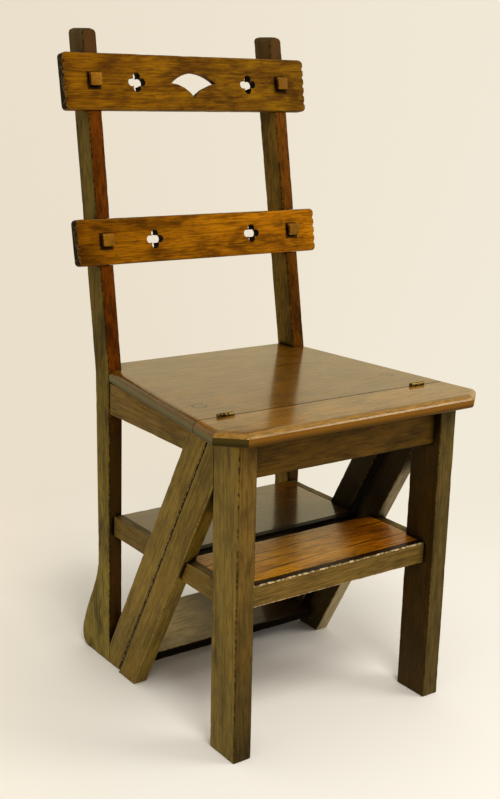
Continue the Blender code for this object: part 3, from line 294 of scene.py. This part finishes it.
def worn(name, material, cuts, wave=0.0002, knock=0.0003, knock_length=0.012):
    """A copy of a solid whose faces wave as planed wood does and whose arrises are knocked about.

    cuts gives the spacing of the cuts that divide it along X, Y and Z, and 0 leaves out a way. wave is
    how far a face wanders, knock how deep a knock goes and knock_length how long it is.
    """
    node = nodes[name]
    shape = bmesh.new()
    shape.from_mesh(node.data)
    bmesh.ops.remove_doubles(shape, verts=shape.verts, dist=1e-6)
    shape.normal_update()
    areas = {}
    for face in shape.faces:
        key = tuple(round(c, 2) for c in face.normal)
        areas[key] = areas.get(key, 0.0) + face.calc_area()
    whole = sum(areas.values())
    plain = [Vector(key) for key, area in areas.items() if area > PLAIN_SHARE * whole]
    arris = shape.faces.layers.float.new("arris")
    for face in shape.faces:
        face[arris] = 1.0 if narrow(face, plain) else 0.0
    low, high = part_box(name)
    for axis, spacing in enumerate(cuts):
        if not spacing:
            continue
        count = max(1, round((high[axis] - low[axis]) / spacing))
        across = Vector((float(axis == 0), float(axis == 1), float(axis == 2)))
        for i in range(1, count):
            at = low.copy()
            at[axis] += (high[axis] - low[axis]) * i / count
            everything = shape.verts[:] + shape.edges[:] + shape.faces[:]
            bmesh.ops.bisect_plane(shape, geom=everything, dist=1e-6, plane_co=at, plane_no=across)
    shape.normal_update()
    # The shares blocked near and far are kept on the mesh, and the materials paint shade with them.
    dirt_and_shade_near = shape.loops.layers.float.new("dirt_and_shade_near")
    shade_far = shape.loops.layers.float.new("shade_far")
    known = {}
    for face in shape.faces:
        middle = face.calc_center_median()
        for loop in face.loops:
            key = (loop.vert.index, *(round(c, 1) for c in face.normal))
            if key not in known:
                place = loop.vert.co.lerp(middle, LOOK_INWARD)
                known[key] = shelter(place, face.normal)
            loop[dirt_and_shade_near], loop[shade_far] = known[key]
    moves = []
    for vert in shape.verts:
        move = noise.noise_vector(vert.co * WAVES_PER_METRE) * wave
        if any(face[arris] for face in vert.link_faces):
            bite = noise.noise(vert.co / knock_length) - KNOCK_FLOOR
            move -= vert.normal * max(0.0, bite) * knock * KNOCK_GAIN
        moves.append(move)
    for vert, move in zip(shape.verts, moves):
        vert.co += move
    for face in shape.faces:
        face.smooth = True
    for edge in shape.edges:
        edge.smooth = len(edge.link_faces) == 2 and edge.calc_face_angle(0.0) < SHARP_ANGLE
    mesh = bpy.data.meshes.new(name + "_worn")
    shape.to_mesh(mesh)
    shape.free()
    piece = bpy.data.objects.new(name + "_worn", mesh)
    bpy.context.scene.collection.objects.link(piece)
    mesh.materials.append(material)
    weighted = piece.modifiers.new("Flat faces stay flat", "WEIGHTED_NORMAL")
    weighted.keep_sharp = True
    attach(piece, node["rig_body"])
    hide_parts(name)


UPRIGHT = (0.0, 0.03, 1.0)
LEG_CUTS = (0.0095, 0.0095, 0.006)
LEFT, RIGHT = (-1.0, 0.0, 0.0), (1.0, 0.0, 0.0)
FRONT, BACK = (0.0, -1.0, 0.0), (0.0, 1.0, 0.0)
UP, DOWN = (0.0, 0.0, 1.0), (0.0, 0.0, -1.0)


def darker_low_front(tree, surface, colour):
    """The lower part is darker toward the floor, most on the front."""
    height = add(tree, "SeparateXYZ", {0: surface.outputs["Object"]}).outputs[2]
    cloud = add(tree, "TexNoise", {"Vector": surface.outputs["Object"], "Scale": 14.0}).outputs["Fac"]
    height = reckon(tree, "MULTIPLY_ADD", cloud, 0.12, height)
    front = facing(tree, surface.outputs["Normal"], FRONT)
    most = reckon(tree, "MULTIPLY_ADD", front, 0.6, 0.35)
    share = reckon(tree, "MULTIPLY", ramp(tree, height, 0.36, 0.12), most)
    return blend(tree, share, colour, linear("#a8b0c0"), "MULTIPLY")


# The left leg's front faces are toned darker than its sides: painted shade.
left_leg_oak = oak(
    "Stained oak, left front leg", UPRIGHT, (0.31, 0.22, 0.04), "#725f28", "#382910", "#8a6f2a", "#281b09",
    sides=((FRONT, "#dccfd8"),), marks=darker_low_front, blotches=0.5,
)
# The right leg's face toward the left leg is toned darker: painted shade.
right_leg_oak = oak(
    "Stained oak, right front leg", UPRIGHT, (0.12, -0.13, 0.05), "#4e411d", "#281b0c", "#665222", "#281b09",
    sides=((LEFT, "#b29f8a"), (FRONT, "#f0f0f8")),
)
worn("front_leg_left", left_leg_oak, LEG_CUTS)
worn("front_leg_right", right_leg_oak, LEG_CUTS)

# ---------------------------------------------------------------------------------------------
# Front braces
# A pair of oak braces halved behind the front legs' tops, running down and back to the split. They
# are cut from straight stuff, so that the grain follows each brace, and their arrises are rubbed pale.

BRACE_RUN = (0.0, -0.5646, 1.0)
ACROSS_SPLIT = Vector((0.0, 1.0, 0.5646)).normalized()
# The split lies along the front half's largest face that looks across it, and half a gap behind.
SPLIT_AT = max(
    (face.area, face.center.dot(ACROSS_SPLIT)) for face in nodes["front_brace_left"].data.polygons
    if face.normal.dot(ACROSS_SPLIT) > 0.999
)[1]
HALF_GAP = 0.0022


def split_dirt_and_shade(tree, surface, colour):
    """A dark band beside the split between the two halves of a brace, which widens the dark line of the gap:
    dirt, and painted shade of the gap. It is wider toward the foot.
    """
    place = surface.outputs["Object"]
    height = add(tree, "SeparateXYZ", {0: place}).outputs[2]
    across = tuple(ACROSS_SPLIT)
    off = add(tree, "VectorMath", {0: place, 1: across}, operation="DOT_PRODUCT").outputs["Value"]
    off = reckon(tree, "SUBTRACT", off, SPLIT_AT + HALF_GAP)
    off = reckon(tree, "ABSOLUTE", off)
    wider = ramp(tree, height, 0.40, 0.02, 0.0, 0.0010)
    off = reckon(tree, "SUBTRACT", off, wider)
    return blend(tree, ramp(tree, off, 0.0046, 0.0034), colour, linear(SOOT_AND_SHADE))


def brace(half, side, heart, ground, dark, light, sides):
    """A half of a brace. On the right ones the face toward the middle of the frame is painted dark as shade, and
    the pale ground along the edge in front is a painted reflection of the floor.
    """
    brace_oak = oak(
        f"Stained oak, {side} {half} brace", BRACE_RUN, heart, ground, dark, light, "#8a7440", sides=sides,
        marks=split_dirt_and_shade,
    )
    worn(f"{half}_brace_{side}", brace_oak, (0.011, 0.0, 0.007))


# Right braces: the face toward the middle of the frame is toned dark, painted shade; the outer face is toned
# back from the pale ground, which stands for a painted reflection on the front edge.
INNER_SHADE_OUTER_TONE = ((LEFT, "#5a5242"), (RIGHT, "#b09c50"))
brace("front", "left", (0.10, 0.26, 0.07), "#6c581e", "#36270e", "#886a24", ())
brace("front", "right", (0.20, -0.12, 0.08), "#9c8c6a", "#5e5034", "#aa9c78", INNER_SHADE_OUTER_TONE)

# ---------------------------------------------------------------------------------------------
# Apron
# A plain rail between the legs, under the seat's front edge.

ACROSS = (1.0, 0.0, 0.02)
apron_oak = oak(
    "Stained oak, apron", ACROSS, (0.1, 0.19, -0.33), "#4a3412", "#221505", "#624612", "#42300f",
    blotches=0.7,
)
worn("apron", apron_oak, (0.008, 0.0, 0.010))

# ---------------------------------------------------------------------------------------------
# Front shelf
# The lowest step: a front rail and two side rails tenoned into the legs, and a board let in
# between them. The board is golden and glossy, and its long shakes have filled with dark wax.

# Its pale arris tone paints the dotted highlight along the front arris, as well as wear.
rail_oak = oak(
    "Stained oak, front shelf rail", ACROSS, (0.2, 0.15, -0.2), "#5f4a20", "#30220d", "#7a602c", "#c4b088",
    sides=((UP, "#7c6038"),), shine=0.36,
)
worn("front_shelf_rail", rail_oak, (0.006, 0.008, 0.008), knock=0.0004)


BACKWARD = (0.0, 1.0, 0.02)


def side_rails(name, label, hearts, tones, cuts):
    """A left and a right rail that run from front to back, each cut at its own place in the log."""
    for side, heart in zip(("left", "right"), hearts):
        side_oak = oak(f"Stained oak, {side} {label}", BACKWARD, heart, *tones)
        worn(f"{name}_{side}", side_oak, cuts)


side_rails(
    "front_shelf_side_rail", "rail of the front shelf", ((0.1, 0.24, -0.17), (0.3, -0.11, -0.19)),
    ("#654f1c", "#33240c", "#826424", "#8a7440"), (0.0, 0.009, 0.009),
)
SHAKE_SPACING = 0.026


def shakes(tree, surface, colour):
    """Long thin cracks that run along the board, filled with dark wax. Its right end is redder."""
    across = add(tree, "SeparateXYZ", {0: surface.outputs["Object"]}).outputs[0]
    colour = blend(tree, ramp(tree, across, 0.02, 0.10), colour, linear("#f0d2f0"), "MULTIPLY")
    skewed = {"Vector": surface.outputs["Object"], "Rotation": (0.0, 0.0, -0.02)}
    wood = add(tree, "Mapping", skewed).outputs[0]
    bend = patches(tree, wood, 0.160, 0.030)
    depth = add(tree, "SeparateXYZ", {0: wood}).outputs[1]
    depth = reckon(tree, "MULTIPLY_ADD", bend, 0.020, depth)
    wave = reckon(tree, "MULTIPLY", depth, 1.0 / SHAKE_SPACING)
    wave = reckon(tree, "FRACT", wave)
    wave = reckon(tree, "SUBTRACT", wave, 0.5)
    wave = reckon(tree, "ABSOLUTE", wave)
    line = ramp(tree, wave, 0.044, 0.024)
    broken = patches(tree, wood, 0.060, 0.020)
    line = reckon(tree, "MULTIPLY", line, ramp(tree, broken, 0.40, 0.46))
    return blend(tree, line, colour, linear("#100602"))


def bare_edges(material, varnish):
    """Varnish stays on what faces up, and has worn off the edges."""
    tree = material.node_tree
    upward = add(tree, "SeparateXYZ", {0: add(tree, "TexCoord").outputs["Normal"]}).outputs[2]
    kept = ramp(tree, upward, 0.30, 0.85, 0.05, varnish)
    tree.links.new(kept, tree.nodes["Principled BSDF"].inputs["Coat Weight"])


board_oak = oak(
    "Golden varnished oak, front shelf board", (1.0, 0.015, 0.05), (0.0, 0.13, -0.30), "#b87602", "#5c3602",
    "#dc9806", "#1c0e03", shine=0.26, rings=0.45, pores=0.5, marks=shakes, shadow=0.3, gloss=0.9,
)
board_oak.node_tree.nodes["Principled BSDF"].inputs["Specular Tint"].default_value = linear("#ffb838")
worn("front_shelf_board", board_oak, (0.010, 0.010, 0.0), wave=0.0003)

# ---------------------------------------------------------------------------------------------
# Seat
# One oak board, cut across at the seam, with its three free edges sunk and rounded. It is varnished
# to a gloss that mirrors the room at a low angle, and its front arris is bruised and rubbed bright, the
# brightness partly a painted highlight.

SEAT_RUN = (1.0, 0.02, 0.06)


def sunk_edge(tree, surface, colour):
    """The sunk edge is rubbed golden along the front and dark along the sides.

    The upright edge under it is brown in front, dark at the cut corner and greyer along the left, the grey
    partly a painted sheen.
    """
    toward_x, toward_y, toward_z = add(tree, "SeparateXYZ", {0: surface.outputs["Normal"]}).outputs
    sunk = reckon(tree, "MULTIPLY", ramp(tree, toward_z, 0.975, 0.90), ramp(tree, toward_z, 0.25, 0.45))
    front = reckon(tree, "MULTIPLY", ramp(tree, toward_y, -0.15, -0.35), sunk)
    cloud = patches(tree, surface.outputs["Object"], 0.012, 0.003, 4.0)
    gold = blend(tree, ramp(tree, cloud, 0.30, 0.70), linear("#6a4e18"), linear("#8c6a2a"))
    colour = blend(tree, sunk, colour, linear("#d0c890"), "MULTIPLY")
    colour = blend(tree, front, colour, gold)
    upright = ramp(tree, toward_z, 0.45, 0.25)
    colour = blend(tree, upright, colour, linear("#6e4812"))
    # The grey on faces that look left is partly a painted sheen.
    for start, end, tone in ((-0.3, -0.6, "#3c3212"), (-0.80, -0.95, "#5c5434")):
        turned = reckon(tree, "MULTIPLY", ramp(tree, toward_x, start, end), upright)
        colour = blend(tree, turned, colour, linear(tone))
    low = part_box("front_seat_strip")[0].z
    height = add(tree, "SeparateXYZ", {0: surface.outputs["Object"]}).outputs[2]
    below = reckon(tree, "MULTIPLY", ramp(tree, height, low + 0.0085, low + 0.0025, 0.0, 0.6), upright)
    return blend(tree, below, colour, linear("#1c1406"))


def plug_rings(tree, surface, colour):
    """The rim of each plug's hole shows as a dark ring, here and there broken."""
    for side in ("left", "right"):
        low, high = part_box(f"seat_plug_{side}")
        top = (*((low + high) / 2.0).xy, high.z)
        reach = {0: surface.outputs["Object"], 1: top}
        reach = add(tree, "VectorMath", reach, operation="DISTANCE").outputs["Value"]
        off = reckon(tree, "SUBTRACT", reach, (high.x - low.x) / 2.0)
        off = reckon(tree, "ABSOLUTE", off)
        cloud = add(tree, "TexNoise", {"Vector": surface.outputs["Object"], "Scale": 90.0}).outputs["Fac"]
        broken = ramp(tree, cloud, 0.36, 0.48, 0.35, 1.0)
        line = reckon(tree, "MULTIPLY", ramp(tree, off, 0.0013, 0.0006), broken)
        colour = blend(tree, line, colour, linear("#120a03"))
    return colour


def seat_marks(tree, surface, colour):
    """Both marks of the seat: its edge, and the rings round the plugs."""
    return plug_rings(tree, surface, sunk_edge(tree, surface, colour))


for name, ground, light, knock, knock_length in (
    ("front_seat_strip", "#745214", "#8e661c", 0.0006, 0.009),
    ("rear_seat_board", "#5c3f08", "#74500c", 0.0004, 0.012),
):
    seat_oak = oak(
        f"Varnished oak, {name}", SEAT_RUN, (0.05, -0.02, -0.52), ground, "#3a2204", light, "#d0a050",
        shine=0.34, rings=0.40, pores=0.45, shadow=0.5, ends="#ffffff", gloss=0.05, marks=seat_marks,
    )
    bare_edges(seat_oak, 0.88)
    worn(name, seat_oak, (0.006, 0.006, 0.0), wave=0.0003, knock=knock, knock_length=knock_length)

# ---------------------------------------------------------------------------------------------
# Back posts
# The two long posts of the back section, straight up to the seat, then raked, with a foot that
# flares back. Their front faces are redder than their sides, which have gone a greenish brown, and also darker,
# which is painted shade.


def post_tones_and_shade(tree, surface, colour):
    """A post is paler toward the foot, painted dark on its front between the braces as shade, and grey at its
    very top.
    """
    height = add(tree, "SeparateXYZ", {0: surface.outputs["Object"]}).outputs[2]
    front = facing(tree, surface.outputs["Normal"], FRONT)
    colour = blend(tree, ramp(tree, height, 0.10, 0.50), colour, linear("#c4bba4"), "MULTIPLY")
    behind = reckon(tree, "MULTIPLY", ramp(tree, height, 0.42, 0.34, 0.0, 0.85), front)
    colour = blend(tree, behind, colour, linear("#33260e"))
    return blend(tree, ramp(tree, height, 0.870, 0.880, 0.0, 0.7), colour, linear("#3c2c18"))


for side, heart, ground, light, flank, face in (
    ("left", (0.05, 0.23, -0.10), "#76662a", "#8a7831", "#ffffff", "#ec9440"),
    ("right", (0.25, -0.11, -0.12), "#7c6428", "#927630", "#f8f4e0", "#e4ae70"),
):
    # FRONT makes the front faces redder, and darker as painted shade.
    post_oak = oak(
        f"Stained oak, {side} back post", (0.0, 0.06, 1.0), heart, ground, "#2c2210", light, "#1c1206",
        sides=((LEFT, flank), (RIGHT, flank), (FRONT, face), (BACK, "#f0c890")), gloss=0.04,
        flecks=0.4, blotches=0.55, marks=post_tones_and_shade,
    )
    worn(f"back_post_{side}", post_oak, (0.0, 0.012, 0.007))

# ---------------------------------------------------------------------------------------------
# Rear braces and rails under the seat
# The other half of each brace, and the rails that carry the rear part of the seat.

brace("rear", "left", (0.07, 0.24, 0.17), "#756026", "#3a2a10", "#90742c", ())
# The right rear brace also has the pale ground, a painted reflection on its front edge, and the painted shade
# toward the middle.
brace("rear", "right", (0.17, -0.13, 0.11), "#9c8c6a", "#5e5034", "#aa9c78", INNER_SHADE_OUTER_TONE)
side_rails(
    "seat_side_rail", "side rail of the seat", ((0.09, 0.22, -0.38), (0.29, -0.12, -0.39)),
    ("#66501e", "#33240c", "#80602a", "#86662f"), (0.0, 0.009, 0.010),
)
back_oak = oak(
    "Stained oak, rear seat rail", ACROSS, (0.4, -0.2, -0.41), "#55401b", "#2a1c0b", "#6d5326", "#86662f",
)
worn("rear_seat_rail", back_oak, (0.009, 0.0, 0.010))

# ---------------------------------------------------------------------------------------------
# Rear shelf and low board
# The steps of the back section: the rear shelf with a nosing along its front edge, on two side
# rails, and the low board between the feet, let into the posts.

shelf_oak = oak(
    "Varnished oak, rear shelf", (1.0, -0.02, 0.04), (0.03, -0.1, -0.27), "#5c380c", "#2e1a05", "#704810",
    "#4a3816", shine=0.34, rings=0.4, shadow=0.5, gloss=0.05,
)
bare_edges(shelf_oak, 1.0)
# The nosing sits in the gap between the shelves and is toned near black, its front face darkest: painted shade
# of the gap.
nosing_in_shade = oak(
    "Oak toned dark with shade, nosing of the rear shelf", ACROSS, (0.03, -0.1, -0.27), "#2a1c06", "#180e03",
    "#3a280a", "#140d05", sides=((FRONT, "#1c1a14"),), shine=0.5, varnish=0.1, gloss=0.03,
)
worn("rear_shelf_board", shelf_oak, (0.010, 0.010, 0.0), wave=0.0003)
worn("rear_shelf_nosing", nosing_in_shade, (0.008, 0.0, 0.0))
side_rails(
    "rear_shelf_side_rail", "rail of the rear shelf", ((0.06, 0.25, -0.21), (0.26, -0.14, -0.22)),
    ("#5f4b1e", "#30220c", "#765a26", "#86662f"), (0.0, 0.009, 0.009),
)


def right_end_shade(tree, surface, colour):
    """The low board is paler at its left end and darker toward its right: painted shade, and a painted
    reflection of the dark braces beside it.
    """
    across = add(tree, "SeparateXYZ", {0: surface.outputs["Object"]}).outputs[0]
    return blend(tree, ramp(tree, across, -0.10, 0.04), colour, linear("#483830"), "MULTIPLY")


# Its front edge is toned near black: painted shade.
low_oak = oak(
    "Stained oak, low board", (1.0, 0.02, -0.05), (0.07, -0.15, -0.12), "#b8a264", "#6c562c", "#ccb472",
    "#1c1208", sides=((FRONT, "#120e08"),), shine=0.40, rings=0.3, shadow=0.6, gloss=0.03,
    marks=right_end_shade,
)
bare_edges(low_oak, 0.3)
worn("low_board", low_oak, (0.009, 0.009, 0.0))

# ---------------------------------------------------------------------------------------------
# Rails of the back
# Two boards let into the posts, sawn out with quatrefoils and a fan, their ends notched like a
# strap. They keep the golden colour of the wood, with dark wax round the pegs and a painted shadow to their left
# and below.

RAIL_RUN = (1.0, 0.0, 0.015)


def wax_and_shadow(rail, left_end, right_end):
    """A mark for a rail: dark wax round its pegs, moved to their left and below as a painted shadow, and a tone
    that runs from one end to the other.
    """
    def mark(tree, surface, colour):
        place = add(tree, "SeparateXYZ", {0: surface.outputs["Object"]})
        cloud = {"Vector": surface.outputs["Object"], "Scale": 120.0, "Detail": 3.0}
        cloud = add(tree, "TexNoise", cloud).outputs["Fac"]
        run = blend(tree, ramp(tree, place.outputs[0], -0.20, 0.17), linear(left_end), linear(right_end))
        colour = blend(tree, 1.0, colour, run, "MULTIPLY")
        colour = blend(tree, ramp(tree, place.outputs[0], -0.185, -0.215), colour, linear("#b8a890"), "MULTIPLY")
        for side in ("left", "right"):
            low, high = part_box(f"{rail}_peg_{side}")
            middle, half = (low + high) / 2.0, (high - low) / 2.0
            offs = []
            # The ring is moved left and down, so that it also paints the pegs' shadow.
            for axis, shadow_shift in ((0, -0.0006), (2, -0.0008)):
                off = reckon(tree, "SUBTRACT", place.outputs[axis], middle[axis] + shadow_shift)
                off = reckon(tree, "ABSOLUTE", off)
                offs.append(reckon(tree, "SUBTRACT", off, half[axis]))
            off = reckon(tree, "MAXIMUM", offs[0], offs[1])
            off = reckon(tree, "MULTIPLY_ADD", cloud, 0.003, off)
            colour = blend(tree, ramp(tree, off, 0.0036, 0.0018, 0.0, 0.85), colour, linear(SOOT_AND_SHADE))
        return colour
    return mark


for rail, heart, tones, left_end, right_end in (
    ("crest_rail", (0.02, -0.10, -0.78), ("#6e4504", "#3a1c05", "#8c5c05"), "#f0f0f0", "#e8f4ff"),
    ("lower_back_rail", (0.13, -0.10, -0.70), ("#925803", "#4a2903", "#ae6e07"), "#c6c6c6", "#ffffff"),
):
    golden_oak = oak(
        f"Golden stained oak, {rail.replace('_', ' ')}", RAIL_RUN, heart, *tones, "#5c4420",
        sides=((UP, "#8c6c48"),), pores=0.45, flecks=0.4, blotches=0.75, ends="#3c3c32", gloss=0.03,
        marks=wax_and_shadow(rail, left_end, right_end),
    )
    worn(rail, golden_oak, (0.007, 0.0, 0.010))

# ---------------------------------------------------------------------------------------------
# Pegs
# Four square-headed pegs, cut with a knife from split oak, driven through the rails into the posts.

for rail in ("crest_rail", "lower_back_rail"):
    for side, heart, ground in (
        ("left", (0.11, 0.14, -0.60), "#70480a"), ("right", (0.33, -0.14, -0.61), "#66440c"),
    ):
        # The pegs' left and lower faces are toned dark: painted shade.
        peg_oak = oak(
            f"Golden stained oak, {side} peg of the {rail}", (0.0, 1.0, -0.1), heart, ground, "#5a3608",
            "#9a6a14", "#96702c", sides=((LEFT, "#8c745c"), (DOWN, "#383028"), (UP, "#f0dcc0")), shine=0.38,
            rings=0.15, ends="#ffffff",
        )
        worn(f"{rail}_peg_{side}", peg_oak, (0.003, 0.0, 0.003), wave=0.0004, knock_length=0.005)

# ---------------------------------------------------------------------------------------------
# Plugs and screws of the seat
# Round oak plugs, cut across the grain and set turned a little, hide two brass screws.

for side, heart in (("left", (0.21, 0.08, -0.44)), ("right", (0.02, -0.08, -0.45))):
    plug_oak = oak(
        f"Varnished oak, {side} plug of the seat", (0.8, 0.6, 0.0), heart, "#54380a", "#3a2205", "#6c4a10",
        "#2c1a06", shine=0.34, varnish=0.85, ends="#ffffff", gloss=0.05, marks=plug_rings,
    )
    worn(f"seat_plug_{side}", plug_oak, (0.0, 0.0, 0.0))


def bare_metal(name, bright, dull, rough, grit):
    """Old metal: bright where it is rubbed, dull in patches that are grit metres across."""
    material = bpy.data.materials.new(name)
    material.use_nodes = True
    tree = material.node_tree
    shader = tree.nodes["Principled BSDF"]
    surface = add(tree, "TexCoord").outputs["Object"]
    patch = add(tree, "TexNoise", {"Vector": surface, "Scale": 1.0 / grit, "Detail": 4.0}).outputs["Fac"]
    fine = add(tree, "TexNoise", {"Vector": surface, "Scale": 4.0 / grit, "Detail": 3.0}).outputs["Fac"]
    colour = blend(tree, ramp(tree, patch, 0.42, 0.60), linear(bright), linear(dull))
    tree.links.new(colour, shader.inputs["Base Color"])
    tree.links.new(ramp(tree, patch, 0.40, 0.65, rough, rough + 0.25), shader.inputs["Roughness"])
    relief = add(tree, "Bump", {"Height": fine, "Strength": 0.4, "Distance": 0.0003})
    tree.links.new(relief.outputs[0], shader.inputs["Normal"])
    shader.inputs["Metallic"].default_value = 1.0
    return material


def finish_node(name, material):
    """Gives a solid that is shown as it is its finish."""
    nodes[name].data.materials.clear()
    nodes[name].data.materials.append(material)


brass = bare_metal("Aged brass", "#806c3c", "#2c220e", 0.44, 0.004)
for side in ("left", "right"):
    finish_node(f"seat_screw_{side}", brass)

# ---------------------------------------------------------------------------------------------
# Hinges
# Two small cast brass butts, sunk in the seam with only the knuckles above it. The brass is
# tarnished brown, and bright in patches where it is rubbed. The pins are steel.

steel = bare_metal("Dull steel, turned", "#8f8a80", "#4a4238", 0.35, 0.003)
for side in ("left", "right"):
    finish_node(f"hinge_pin_{side}", steel)
    for half in ("front", "rear"):
        finish_node(f"{half}_hinge_leaf_{side}", brass)
        for number in (1, 2):
            finish_node(f"{half}_hinge_screw_{side}_{number}", brass)

# ---------------------------------------------------------------------------------------------
# Room
# A pale floor that runs out into a pale backdrop, two soft lamps and daylight all round. The floor
# and the backdrop change in tone from left to right, a painted fall of light, and where varnish mirrors them
# they are tinted a little yellow, a painted tint of the reflections.

FLOOR_REACH = 60.0
floor_shape = bmesh.new()
bmesh.ops.create_circle(floor_shape, cap_ends=True, segments=96, radius=FLOOR_REACH)
floor_mesh = bpy.data.meshes.new("floor")
floor_shape.to_mesh(floor_mesh)
floor_shape.free()
floor = bpy.data.objects.new("floor", floor_mesh)
bpy.context.scene.collection.objects.link(floor)

# The floor near the chair and the backdrop change in tone from left to right: a painted fall of light. MIRRORED
# tints them yellow where they are mirrored: a painted tint of the reflections.
SIDEWAYS = (0.8, -0.6, 0.0)
NEAR_LEFT, NEAR_RIGHT = "#f4ecdd", "#e4e2dc"
FAR_LEFT, FAR_RIGHT = "#eadfcb", "#f2ead8"
MIRRORED = "#fffbdc"


def backdrop_tone(tree, bearing, path):
    """The backdrop's colour, which changes from left to right as a painted fall of light, and is yellower where
    it is mirrored.
    """
    far = blend(tree, ramp(tree, bearing, -0.3, 0.3), linear(FAR_LEFT), linear(FAR_RIGHT))
    return blend(tree, path.outputs["Is Glossy Ray"], far, linear(MIRRORED), "MULTIPLY")


def in_sight(tree, path):
    """1 for what the camera sees, itself or in varnish, and 0 for what only lights the chair."""
    seen = reckon(tree, "MAXIMUM", path.outputs["Is Camera Ray"], path.outputs["Is Glossy Ray"])
    return reckon(tree, "MAXIMUM", seen, path.outputs["Is Transmission Ray"])


paper = bpy.data.materials.new("Matt paper")
paper.use_nodes = True
tree = paper.node_tree
tree.nodes.clear()
place = add(tree, "TexCoord").outputs["Object"]
sideways = add(tree, "VectorMath", {0: place, 1: SIDEWAYS}, operation="DOT_PRODUCT").outputs["Value"]
distance = add(tree, "VectorMath", {0: place}, operation="LENGTH").outputs["Value"]
near = blend(tree, ramp(tree, sideways, -0.75, -0.1), linear(NEAR_LEFT), linear(NEAR_RIGHT))
bearing = reckon(tree, "DIVIDE", sideways, distance)
path = add(tree, "LightPath")
near = blend(tree, path.outputs["Is Glossy Ray"], near, linear(MIRRORED), "MULTIPLY")
matt = add(tree, "BsdfDiffuse", {"Color": near})
glow = add(tree, "Emission", {"Color": backdrop_tone(tree, bearing, path)})
fade = reckon(tree, "MULTIPLY", ramp(tree, distance, 0.40, 1.15), in_sight(tree, path))
mixed = add(tree, "MixShader", {0: fade, 1: matt.outputs[0], 2: glow.outputs[0]})
add(tree, "OutputMaterial", {"Surface": mixed.outputs[0]})
floor.data.materials.append(paper)

room = bpy.data.worlds.new("room")
bpy.context.scene.world = room
room.use_nodes = True
tree = room.node_tree
tree.nodes.clear()
direction = add(tree, "TexCoord").outputs["Generated"]
bearing = add(tree, "VectorMath", {0: direction, 1: SIDEWAYS}, operation="DOT_PRODUCT").outputs["Value"]
path = add(tree, "LightPath")
backdrop = add(tree, "Background", {"Color": backdrop_tone(tree, bearing, path), "Strength": 1.0})
daylight = add(tree, "Background", {"Color": linear("#fff8ec"), "Strength": 0.77})
mixed = add(tree, "MixShader", {0: in_sight(tree, path), 1: daylight.outputs[0], 2: backdrop.outputs[0]})
add(tree, "OutputWorld", {"Surface": mixed.outputs[0]})

AIM = Vector((0.0, 0.0, 0.45))
for name, place, size, power in (
    ("softbox on the right", (1.35, -1.40, 1.65), 0.9, 19.0),
    ("softbox above the front", (-0.45, -1.6, 2.5), 0.8, 36.0),
):
    lamp = bpy.data.lights.new(name, "AREA")
    lamp.shape = "SQUARE"
    lamp.size = size
    lamp.energy = power
    lamp.color = linear("#fffbf4")[:3]
    stand = bpy.data.objects.new(name, lamp)
    turn = (AIM - Vector(place)).to_track_quat("-Z", "Y")
    stand.matrix_world = Matrix.Translation(place) @ turn.to_matrix().to_4x4()
    bpy.context.scene.collection.objects.link(stand)

# ---------------------------------------------------------------------------------------------
# Camera
# It stands to the front and left of the chair, about as high as the crest rail, and looks down. Its
# focal length and the shift of its centre are in pixels of the picture, which is 799 high.

STAND = Vector((-0.9826, -1.3882, 0.8676))
YAW, PITCH, ROLL = 0.6461, 0.2910, 0.0325
FRAME_HEIGHT = 799.0
FOCAL_LENGTH = 1239.85
SHIFT_ACROSS, SHIFT_UP = -45.24, 42.09
ahead = Vector((math.sin(YAW) * math.cos(PITCH), math.cos(YAW) * math.cos(PITCH), -math.sin(PITCH)))
level = Vector((math.cos(YAW), -math.sin(YAW), 0.0))
upward = level.cross(ahead)
right = math.cos(ROLL) * level + math.sin(ROLL) * upward
up = math.cos(ROLL) * upward - math.sin(ROLL) * level
lens = bpy.data.cameras.new("camera")
lens.sensor_fit = "VERTICAL"
lens.sensor_height = 36.0
lens.lens = FOCAL_LENGTH * lens.sensor_height / FRAME_HEIGHT
lens.shift_x = SHIFT_ACROSS / FRAME_HEIGHT
lens.shift_y = SHIFT_UP / FRAME_HEIGHT
lens.clip_start = 0.05
camera = bpy.data.objects.new("camera", lens)
camera.matrix_world = Matrix((
    (right.x, up.x, -ahead.x, STAND.x),
    (right.y, up.y, -ahead.y, STAND.y),
    (right.z, up.z, -ahead.z, STAND.z),
    (0.0, 0.0, 0.0, 1.0),
))
bpy.context.scene.collection.objects.link(camera)
bpy.context.scene.camera = camera
bpy.context.scene.view_settings.view_transform = "Standard"
